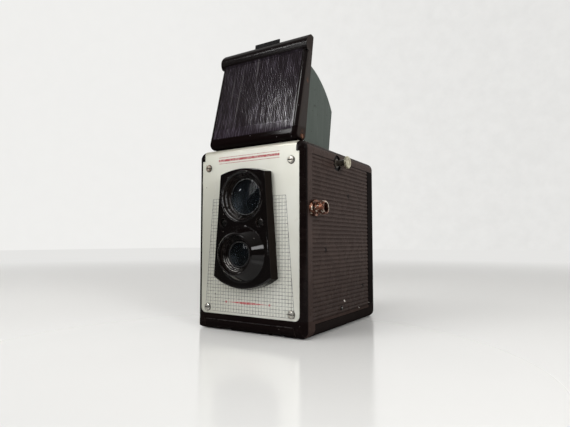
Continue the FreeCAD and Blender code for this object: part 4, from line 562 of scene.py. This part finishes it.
COPPER, COPPER_BROWN = (0.34, 0.15, 0.095), (0.075, 0.028, 0.018)
WORN_BRASS_AND_HIGHLIGHT = (0.86, 0.78, 0.66)
BRASS_PIT = (0.02, 0.012, 0.008)


def terminal_finish():
    """Copper-coloured brass, browned and pitted, with a few bright patches, partly worn brass and
    partly painted highlights.
    """
    paint = Finish("corroded_brass", METAL_BEVEL)
    patch = paint.patches(420.0, 0.36, 0.62, 5.0, 0.65)
    bright = paint.patches(520.0, 0.56, 0.62, 3.0)
    pits = paint.patches(1100.0, 0.58, 0.68, roughness=0.7)
    colour = paint.mix(patch, COPPER, COPPER_BROWN)
    # Bright patches: partly worn brass, partly painted highlights.
    colour = paint.mix(bright * 0.9, colour, WORN_BRASS_AND_HIGHLIGHT)
    colour = paint.mix(pits * 0.8, colour, BRASS_PIT)
    rough = 0.26 + patch * 0.22 + pits * 0.3
    height = bright - pits - patch * 0.5
    return paint.finish(colour, rough, height, 0.06 * MM, metallic=0.95 - pits * 0.8)


HAZE_AND_SHEEN_BLUE = (0.42, 0.50, 0.56)
COATED = 1.17


def glass_finish(name, tint, roughness=0.01, haze=0.0):
    """Clear glass with a film of dust and specks, and a pale blue film thickest low on its left,
    partly haze and partly painted reflection.
    """
    dust = 0.3
    paint = Finish(name, bevel=0)
    film = paint.patches(500.0, 0.55, 0.8, roughness=0.7)
    specks = paint.specks(700.0, 0.14, 0.10)
    rough = roughness + film * 0.05 * dust + specks * dust
    glass = paint.shader(tint, rough, transmission_weight=1.0, ior=COATED)
    film_and_sheen = paint.shader(HAZE_AND_SHEEN_BLUE, 0.6, specular_ior_level=0.2)
    # Painted reflection: the pale film is thickened low on the left of each lens, partly haze.
    low_left_sheen = paint.x.rise(1.0 * MM, -7.0 * MM) * (0.4 + paint.patches(260.0, 0.35, 0.65) * 0.6)
    finder = paint.below(85.5 * MM, 5.5 * MM) * (paint.z > BETWEEN_LENSES)
    low_left_sheen = low_left_sheen * (finder + paint.below(49.0 * MM, 3.0 * MM))
    haze_and_sheen = (0.15 + low_left_sheen) * haze + specks * 0.15
    paint.show(paint.node("ShaderNodeMixShader", None, {0: haze_and_sheen, 1: glass, 2: film_and_sheen}))
    return paint.material


def mirror_finish():
    """Silvered glass, foxed brown in patches."""
    paint = Finish("mirror_silver", bevel=0)
    foxed = paint.patches(160.0, 0.60, 0.72, 5.0, 0.7)
    colour = paint.mix(foxed * 0.5, (0.13, 0.16, 0.20), (0.06, 0.055, 0.045))
    return paint.finish(colour, 0.16 + foxed * 0.2, metallic=1.0)


def fibre_finish():
    """Red-brown vulcanised fibre."""
    paint = Finish("fibre")
    grain = paint.grain((300.0, 2400.0, 2400.0), 4.0, 0.6)
    colour = paint.mix(grain.rise(0.3, 0.7), (0.16, 0.06, 0.03), (0.30, 0.13, 0.06))
    return paint.finish(colour, 0.7, grain, 0.03 * MM)


def ruby_finish():
    """Deep red celluloid, a little crazed."""
    paint = Finish("ruby_window", bevel=0)
    crazed = paint.cells(900.0, "DISTANCE_TO_EDGE").rise(0.06, 0.0)
    return paint.finish((0.42, 0.008, 0.006), 0.08 + crazed * 0.3, crazed * -1.0, 0.01 * MM,
                        transmission_weight=0.6, ior=1.5)


body_finish = moulding("body_moulding", BLACK, BROWN, polish=0.28, side_polish=0.2,
                       rib=RIB_CREST, roughness=0.14)
# Painted shade: the back cover's sides stay black, since no face counts as a rib crest, and its
# foot and rail take a darker brown than the body's.
cover_finish = moulding("cover_moulding", BLACK, COVER_SHADE_BROWN, polish=0.5, side_polish=0.06,
                        rib=BEYOND_RIBS)
board_finish = moulding("board_moulding", BOARD_BLACK, DARK_BROWN, polish=0.9, side_polish=0.05,
                        roughness=0.035, dust=0.6, wear=0.6, bevel=0.35 * MM, arcs=FINDER_AXIS)
knob_finish = moulding("knob_moulding", KNOB_BLACK, KNOB_BROWN, polish=0.5, side_polish=0.5,
                       roughness=0.2)
nickel = metal_finish("nickel", (0.66, 0.63, 0.57), (0.45, 0.41, 0.34), roughness=0.20, spots=0.25)
rusty_steel = metal_finish("rusty_steel", (0.24, 0.11, 0.06), (0.12, 0.045, 0.02),
                           roughness=0.45, spots=0.6, rust=(0.07, 0.022, 0.01))
dark_nickel = metal_finish("dark_nickel", (0.05, 0.047, 0.045), (0.02, 0.018, 0.017),
                           roughness=0.12, rust=(0.02, 0.012, 0.01))
ring_metal = metal_finish("ring_metal", (0.20, 0.20, 0.20), (0.08, 0.08, 0.08),
                          roughness=0.18, rust=(0.02, 0.015, 0.012))
steel = metal_finish("steel", (0.52, 0.52, 0.51), (0.34, 0.33, 0.31), roughness=0.28, spots=0.35)
brass = terminal_finish()
inner_brass = metal_finish("inner_brass", (0.75, 0.54, 0.24), (0.50, 0.34, 0.14),
                           roughness=0.28, spots=0.25)
black_lacquer = lacquer_finish("black_lacquer", (0.012, 0.012, 0.013), (0.22, 0.20, 0.18),
                               roughness=0.5)
tab_lacquer = lacquer_finish("tab_lacquer", (0.0030, 0.0028, 0.0030), (0.03, 0.027, 0.025),
                             roughness=0.75, grain=0.1)
spool_lacquer = lacquer_finish("spool_lacquer", (0.014, 0.013, 0.013), (0.35, 0.33, 0.30),
                               roughness=0.35)
lens_glass = glass_finish("lens_glass", (0.42, 0.49, 0.60), haze=0.055)
finder_ground = glass_finish("finder_field_glass", (0.70, 0.76, 0.78), roughness=0.12)

dress(body_finish, "body_shell")
dress(cover_finish, "back_cover")
dress(board_finish, "lens_board")
dress(reeded_finish(), "hood_lid")
dress(knob_finish, "winding_knob")
dress(sheet_finish(), "front_plate")
dress(screw_finish(), "front_plate_screws")
dress(rusty_steel, "hood_pins")
dress(nickel, "back_latch", "back_latch_screw", "release_lever", "time_lever", "hood_rivets")
dress(dark_nickel, "lens_board_screws")
dress(rivet_finish(), "side_rivets")
dress(ring_metal, "finder_lens_ring")
dress(stud_finish(), "strap_studs")
dress(steel, "shutter_pivots", "lever_spring", "spool_pins", "tension_springs",
      "winding_shaft", "ratchet_wheel", "ratchet_spring", "back_hinge_pin", "pressure_springs")
dress(brass, "flash_terminal")
dress(inner_brass, "flash_nut", "flash_contact", "winding_bush")
dress(black_lacquer, "taking_lens_ring", "shutter_plate", "shutter_blade", "finder_box",
      "finder_frame", "film_carrier", "pressure_plate")
dress(tab_lacquer, "hood_tab")
dress(spool_lacquer, "takeup_spool")
dress(wing_finish(), "hood_shade")
dress(lens_glass, "finder_lens", "taking_lens")
dress(finder_ground, "finder_glass")
dress(mirror_finish(), "finder_mirror")
dress(fibre_finish(), "flash_insulator")
dress(ruby_finish(), "red_window")


# ---- pieces that repeat or follow a line --------------------------------------------------


class Growth(Graph):
    """A geometry tree with named sizes, which ends in one plain mesh."""

    def __init__(self, name, **sizes):
        super().__init__(bpy.data.node_groups.new(name, "GeometryNodeTree"))
        self.name = name
        ports = self.tree.interface
        ports.new_socket("Geometry", in_out="OUTPUT", socket_type="NodeSocketGeometry")
        self.given = {}
        for size, value in sizes.items():
            kind = "NodeSocketInt" if isinstance(value, int) else "NodeSocketFloat"
            port = ports.new_socket(size, in_out="INPUT", socket_type=kind)
            self.given[port.identifier] = value
        self.entry = self.tree.nodes.new("NodeGroupInput")

    def __getitem__(self, size):
        return Socket(self, self.entry.outputs[size])

    def sizes(self, *names):
        return [self[name] for name in names]

    def where(self):
        """The place of each point, as three numbers."""
        return self.parts(self.node("GeometryNodeInputPosition"))

    def block(self, *sizes):
        return self.node("GeometryNodeMeshCube", None, {"Size": self.vector(*sizes)})

    def disc(self, sides, radius, depth):
        """A short prism that lies flat on a face looking along -Y."""
        sockets = {"Vertices": sides, "Radius": radius, "Depth": depth}
        made = self.node("GeometryNodeMeshCylinder", None, sockets)
        return self.placed(made, turn=FACING_FRONT)

    def row(self, count, start, step):
        """Points in a line, a step apart."""
        start, step = self.vector(*start), self.vector(*step)
        sockets = {"Count": count, "Start Location": start, "Offset": step}
        return self.node("GeometryNodeMeshLine", {"mode": "OFFSET"}, sockets)

    def moved(self, points, x=0.0, y=0.0, z=0.0):
        sockets = {"Geometry": points, "Offset": self.vector(x, y, z)}
        return self.node("GeometryNodeSetPosition", None, sockets)

    def along(self, points, shape, scale=(1.0, 1.0, 1.0), turn=(0.0, 0.0, 0.0)):
        """A copy of a shape at each point."""
        scale, turn = self.vector(*scale), self.vector(*turn)
        sockets = {"Points": points, "Instance": shape, "Scale": scale, "Rotation": turn}
        return self.node("GeometryNodeInstanceOnPoints", None, sockets)

    def wheel(self, count, radius, shape):
        """Copies of a shape set round the Z axis, each turned to face out."""
        spots = self.node("GeometryNodeMeshCircle", None, {"Vertices": count, "Radius": radius})
        step = self.node("GeometryNodeInputIndex") * (2 * math.pi) / count
        return self.along(spots, shape, turn=(0.0, 0.0, step))

    def placed(self, geometry, place=(0.0, 0.0, 0.0), turn=(0.0, 0.0, 0.0)):
        sockets = {"Geometry": geometry, "Translation": self.vector(*place), "Rotation": turn}
        return self.node("GeometryNodeTransform", None, sockets)

    def joined(self, *parts):
        return self.node("GeometryNodeJoinGeometry", None, {0: list(parts)})

    def grow(self, geometry, finish, slot, body="camera_body"):
        """Ends the tree, and makes its plain mesh a piece of a body."""
        whole = self.node("GeometryNodeRealizeInstances", None, {0: geometry})
        sockets = {"Geometry": whole, "Material": finish}
        painted = self.node("GeometryNodeSetMaterial", None, sockets)
        self.node("NodeGroupOutput", None, {0: painted})
        piece = bpy.data.objects.new(self.name, bpy.data.meshes.new(self.name + "_seed"))
        bpy.context.collection.objects.link(piece)
        grower = piece.modifiers.new("grow", "NODES")
        grower.node_group = self.tree
        for identifier, value in self.given.items():
            grower[identifier] = value
        view = bpy.context.evaluated_depsgraph_get()
        mesh = bpy.data.meshes.new_from_object(piece.evaluated_get(view))
        piece.modifiers.remove(grower)
        piece.data = mesh
        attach(piece, body)


plate_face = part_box("front_plate")[0][1]
INK = 0.03 * MM
LYING_ACROSS = (0.0, math.pi / 2, 0.0)
FACING_FRONT = (math.pi / 2, 0, 0)


def printed_squares(ink):
    """The ruled squares printed on the front sheet, in a field that widens towards the base.

    They stop behind the lens board, where the sheet has its holes."""
    grow = Growth(
        "printed_squares", base=12.3 * MM, top=85.6 * MM, base_half=34.4 * MM,
        top_half=28.5 * MM, rows=35, line=0.26 * MM, ink=INK, face=plate_face,
        hidden_half=17.0 * MM, hidden_base=36.5 * MM,
    )
    base, top, base_half, top_half = grow.sizes("base", "top", "base_half", "top_half")
    rows, line, ink_depth, face = grow.sizes("rows", "line", "ink", "face")
    tall, taper = top - base, base_half - top_half
    pitch = tall / (rows - 1)
    unit = grow.block(1.0, 1.0, 1.0)
    x, _, z = grow.where()
    half = base_half - taper * (z - base) / tall
    gap = (z > grow["hidden_base"]) * grow["hidden_half"]
    rulings = []
    for side in SIDES:
        spots = grow.row(rows, (0.0, face, base), (0.0, 0.0, pitch))
        spots = grow.moved(spots, x=(half + gap) * (side / 2))
        rulings.append(grow.along(spots, unit, (half - gap, ink_depth, line)))
    columns = grow.node("ShaderNodeMath", {"operation": "FLOOR"}, {0: base_half / pitch})
    height = ((base_half - abs(x)) / taper * tall).least(tall)
    height = height.least(grow["hidden_base"] - base + (abs(x) > grow["hidden_half"]) * tall)
    first = (columns * pitch * -1.0, face, base)
    spots = grow.row(columns * 2.0 + 1.0, first, (pitch, 0.0, 0.0))
    uprights = grow.along(grow.moved(spots, z=height / 2.0), unit, (line, ink_depth, height))
    lean = grow.node("ShaderNodeMath", {"operation": "ARCTAN2"}, {0: taper, 1: tall})
    middle = (base_half + top_half) / 2.0
    ends = grow.row(2, (middle * -1.0, face, (base + top) / 2.0), (middle * 2.0, 0.0, 0.0))
    side = (x > 0.0) * 2.0 - 1.0
    border = (line * 1.3, ink_depth * 1.2, (tall ** 2.0 + taper ** 2.0).root())
    borders = grow.along(ends, unit, border, (0.0, lean * side * -1.0, 0.0))
    grow.grow(grow.joined(*rulings, uprights, borders), ink, "front_sheet")


def printed_band(ink):
    """A broad rule between two fine ones, near the top of the front sheet."""
    grow = Growth(
        "printed_band", height=111.0 * MM, gap=2.0 * MM, half=24.0 * MM, line=0.3 * MM,
        broad=1.5 * MM, ink=INK, face=plate_face,
    )
    height, gap, half, face, depth = grow.sizes("height", "gap", "half", "face", "ink")
    spots = grow.row(2, (0.0, face, height - gap), (0.0, 0.0, gap * 2.0))
    fine = grow.along(spots, grow.block(half * 2.0, depth, grow["line"]))
    broad = grow.placed(grow.block(half * 2.0, depth, grow["broad"]), (0.0, face, height))
    grow.grow(grow.joined(fine, broad), ink, "front_sheet")


def printed_flourish(ink):
    """A rule that swells at its middle, with a dot at each end, near the front sheet's foot."""
    grow = Growth(
        "printed_flourish", height=18.8 * MM, half=15.0 * MM, swell=0.62 * MM, tip=0.12 * MM,
        dot=0.75 * MM, reach=16.8 * MM, ink=INK, face=plate_face,
    )
    height, half, face, depth = grow.sizes("height", "half", "face", "ink")
    sockets = {"Size": grow.vector(half * 2.0, depth * 1.5, 2.0), "Vertices X": 33}
    bar = grow.node("GeometryNodeMeshCube", None, sockets)
    x, y, z = grow.where()
    shape = ((1.0 - (x / half) ** 2.0) ** 2.0) * grow["swell"] + grow["tip"]
    sockets = {"Geometry": bar, "Position": grow.vector(x, y, z * shape)}
    bar = grow.placed(grow.node("GeometryNodeSetPosition", None, sockets), (0.0, face, height))
    ends = grow.row(2, (grow["reach"] * -1.0, face, height), (grow["reach"] * 2.0, 0.0, 0.0))
    dots = grow.along(ends, grow.disc(20, grow["dot"], depth * 1.5))
    grow.grow(grow.joined(bar, dots), ink, "front_sheet")


def terminal_thread(finish):
    """The screw thread on the flash terminal's end, and the milled edge of its collar."""
    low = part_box("flash_terminal")[0]
    flange = 4.9 * MM
    grow = Growth(
        "terminal_thread", start=45.9 * MM, reach=50.75 * MM, radius=4.0 * MM, turns=5.0,
        bead=0.24 * MM, back=low[1] + flange, height=low[2] + flange, collar=4.85 * MM,
        collar_start=42.3 * MM, collar_end=44.2 * MM, teeth=34, tooth=0.36 * MM,
    )
    radius, start, back, height = grow.sizes("radius", "start", "back", "height")
    tooth, collar_start = grow.sizes("tooth", "collar_start")
    sockets = {"Resolution": 28, "Rotations": grow["turns"], "Start Radius": radius,
               "End Radius": radius, "Height": grow["reach"] - start}
    spiral = grow.node("GeometryNodeCurveSpiral", None, sockets)
    sockets = {"Resolution": 6, "Radius": grow["bead"]}
    wire = grow.node("GeometryNodeCurvePrimitiveCircle", None, sockets)
    sockets = {"Curve": spiral, "Profile Curve": wire, "Fill Caps": True}
    thread = grow.node("GeometryNodeCurveToMesh", None, sockets)
    axial = grow["collar_end"] - collar_start
    milling = grow.wheel(grow["teeth"], grow["collar"], grow.block(tooth, tooth, axial))
    both = grow.joined(
        grow.placed(thread, (start, back, height), LYING_ACROSS),
        grow.placed(milling, (collar_start + axial / 2.0, back, height), LYING_ACROSS),
    )
    grow.grow(both, finish, "brass")


def barrel_serrations(finish):
    """Fine teeth round the three inner steps of the taking lens's well."""
    low, high = (Vector(corner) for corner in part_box("taking_lens"))
    grow = Growth(
        "barrel_serrations", first=10.45 * MM, tread=0.75 * MM, riser=1.125 * MM,
        mouth=-66.775 * MM, height=(low.z + high.z) / 2, teeth=84, tooth=0.34 * MM,
    )
    tread, riser, tooth = grow.sizes("tread", "riser", "tooth")
    rings = []
    for step in range(3):
        radius = grow["first"] - tread * float(step)
        wheel = grow.wheel(grow["teeth"], radius, grow.block(tooth, tooth, riser * 0.8))
        deep = grow["mouth"] + riser * (step + 0.5)
        rings.append(grow.placed(wheel, (0.0, deep, grow["height"]), FACING_FRONT))
    grow.grow(grow.joined(*rings), finish, "bakelite")


grey_ink = ink_finish("grey_ink", (0.055, 0.058, 0.055), 0.45)
red_ink = ink_finish("red_ink", (0.36, 0.035, 0.04), 0.35)
printed_squares(grey_ink)
printed_band(red_ink)
printed_flourish(red_ink)
terminal_thread(brass)
barrel_serrations(serration_finish())


# ---- stage, light and camera --------------------------------------------------------------

WARM_WHITE = (1.0, 0.995, 0.975)
BEHIND_GLOW = 0.86
PLAIN_GLOW = 0.50
TABLE_GLOW = 0.79
TABLE_COLOUR = (0.695, 0.69, 0.675)
TABLE_SHADE_IN_GLOSS = (0.2, 0.2, 0.2)


def floor():
    """A pale polished table top that fades into the white around it."""
    mesh = bpy.data.meshes.new("floor")
    reach = 3.0
    corners = [(-reach, -reach, 0), (reach, -reach, 0), (reach, reach, 0), (-reach, reach, 0)]
    mesh.from_pydata(corners, [], [(0, 1, 2, 3)])
    top = bpy.data.objects.new("floor", mesh)
    bpy.context.collection.objects.link(top)
    paint = Finish("table", bevel=0)
    seen, glossy = paint.rays("Is Camera Ray", "Is Glossy Ray")
    # Painted shade: the table is darker as seen in reflections, standing for shade on it.
    colour = paint.mix(glossy * 0.75, TABLE_COLOUR, TABLE_SHADE_IN_GLOSS)
    # The polish is best just in front of the right of the body, and duller away from there.
    off = ((paint.x - 0.03) ** 2.0 + (paint.y + 0.11) ** 2.0).root().rise(0.08, 0.26)
    polish = paint.shader(colour, 0.14 + off * 0.46, specular_ior_level=0.35)
    dim = 0.06
    lit = dim + paint.y.rise(-0.35, 0.25) * (BEHIND_GLOW - dim)
    glow = seen * TABLE_GLOW + (1.0 - seen) * lit
    haze = paint.node("ShaderNodeEmission", None, {"Color": opaque(WARM_WHITE), "Strength": glow})
    far = (paint.x ** 2.0 + paint.y ** 2.0).root().rise(0.30, 1.3)
    away = far.most(paint.y.rise(-0.11, -0.34))
    paint.show(paint.node("ShaderNodeMixShader", None, {0: away, 1: polish, 2: haze}))
    mesh.materials.append(paint.material)


def world():
    """A white room behind, dimmer in front and brighter overhead, that only gloss and glass show.

    The camera sees a white backdrop, mottled on its right, and matt surfaces get plain light."""
    room = bpy.data.worlds.new("room")
    bpy.context.scene.world = room
    room.use_nodes = True
    graph = Graph(room.node_tree)
    graph.tree.nodes.clear()
    toward = graph.node("ShaderNodeTexCoord", None, None, "Generated")
    x, y, z = graph.parts(toward)
    behind = y.rise(-0.10, 0.45)
    overhead = z.rise(0.35, 0.95)
    dim = 0.035
    mirrored = (dim + behind * (BEHIND_GLOW - dim) + overhead * 0.16).least(BEHIND_GLOW)
    seen, glossy, through = graph.rays("Is Camera Ray", "Is Glossy Ray", "Is Transmission Ray")
    bent = (glossy + through).least(1.0)
    plain = (1.0 - seen) * (1.0 - bent)
    fine = {"Vector": toward, "Scale": 45.0, "Detail": 5.0, "Roughness": 0.6}
    mottle = graph.node("ShaderNodeTexNoise", None, fine)
    backdrop = x.rise(-0.75, -0.05, 0.87, 0.79) + (mottle - 0.5) * x.rise(-0.75, -0.2, 0.03, 0.10)
    strength = seen * backdrop + (1.0 - seen) * bent * mirrored + plain * PLAIN_GLOW
    sockets = {"Color": opaque(WARM_WHITE), "Strength": strength}
    sky = graph.node("ShaderNodeBackground", None, sockets)
    graph.node("ShaderNodeOutputWorld", None, {"Surface": sky})


def around(turn, rise, distance, target):
    """A place at a distance from a target: turned from in front of it to the right, and raised."""
    across, up = math.radians(turn), math.radians(rise)
    flat = distance * math.cos(up)
    step = Vector((flat * math.sin(across), -flat * math.cos(across), distance * math.sin(up)))
    return Vector(target) + step


def lamp(name, turn, rise, distance, target, width, height, watts, mirrored=True):
    """A soft rectangular lamp that looks at a target from a turn and a rise, in degrees."""
    light = bpy.data.lights.new(name, "AREA")
    light.shape = "RECTANGLE"
    light.size = width
    light.size_y = height
    light.energy = watts
    body = bpy.data.objects.new(name, light)
    body.location = around(turn, rise, distance, target)
    body.rotation_euler = (Vector(target) - body.location).to_track_quat("-Z", "Y").to_euler()
    body.visible_camera = False
    body.visible_glossy = mirrored
    bpy.context.collection.objects.link(body)


def camera():
    lens = bpy.data.cameras.new("camera")
    lens.lens = 28.9
    lens.sensor_width = 36.0
    lens.clip_start = 0.01
    eye = bpy.data.objects.new("camera", lens)
    eye.location = (0.17355, -0.28857, 0.05747)
    eye.rotation_euler = (math.radians(93.52), 0.0, math.radians(31.97))
    bpy.context.collection.objects.link(eye)
    bpy.context.scene.camera = eye


floor()
world()
middle = (0.0, 0.0, 0.09)
barrel = (0.0, -0.06, 0.05)
finder = (0.0, -0.06, 0.086)
lid = (0.025, -0.05, 0.132)
cone = (0.0148, -0.0654, 0.0538)
lamp("ceiling", -20, 70, 1.3, middle, 1.0, 1.0, watts=7.0, mirrored=False)
lamp("window", 66, 20, 0.9, barrel, 0.20, 0.42, watts=4.1, mirrored=False)
lamp("cone_light", 78, 24, 0.8, cone, 0.10, 0.16, watts=0.28)
lamp("front", -21, 22, 1.3, middle, 0.30, 0.60, watts=3.3)
lamp("high", 6, 48, 1.1, barrel, 0.14, 0.14, watts=0.6)
lamp("bulb", -35, 42, 1.2, barrel, 0.05, 0.05, watts=0.5)
lamp("high_spark", -49, 17, 1.0, barrel, 0.04, 0.04, watts=0.5)
lamp("low_spark", -27, -1, 1.0, finder, 0.035, 0.035, watts=0.12)
lamp("lid_light", -39.5, 39, 1.2, lid, 0.06, 0.12, watts=1.1)
camera()
bpy.context.scene.view_settings.view_transform = "Standard"
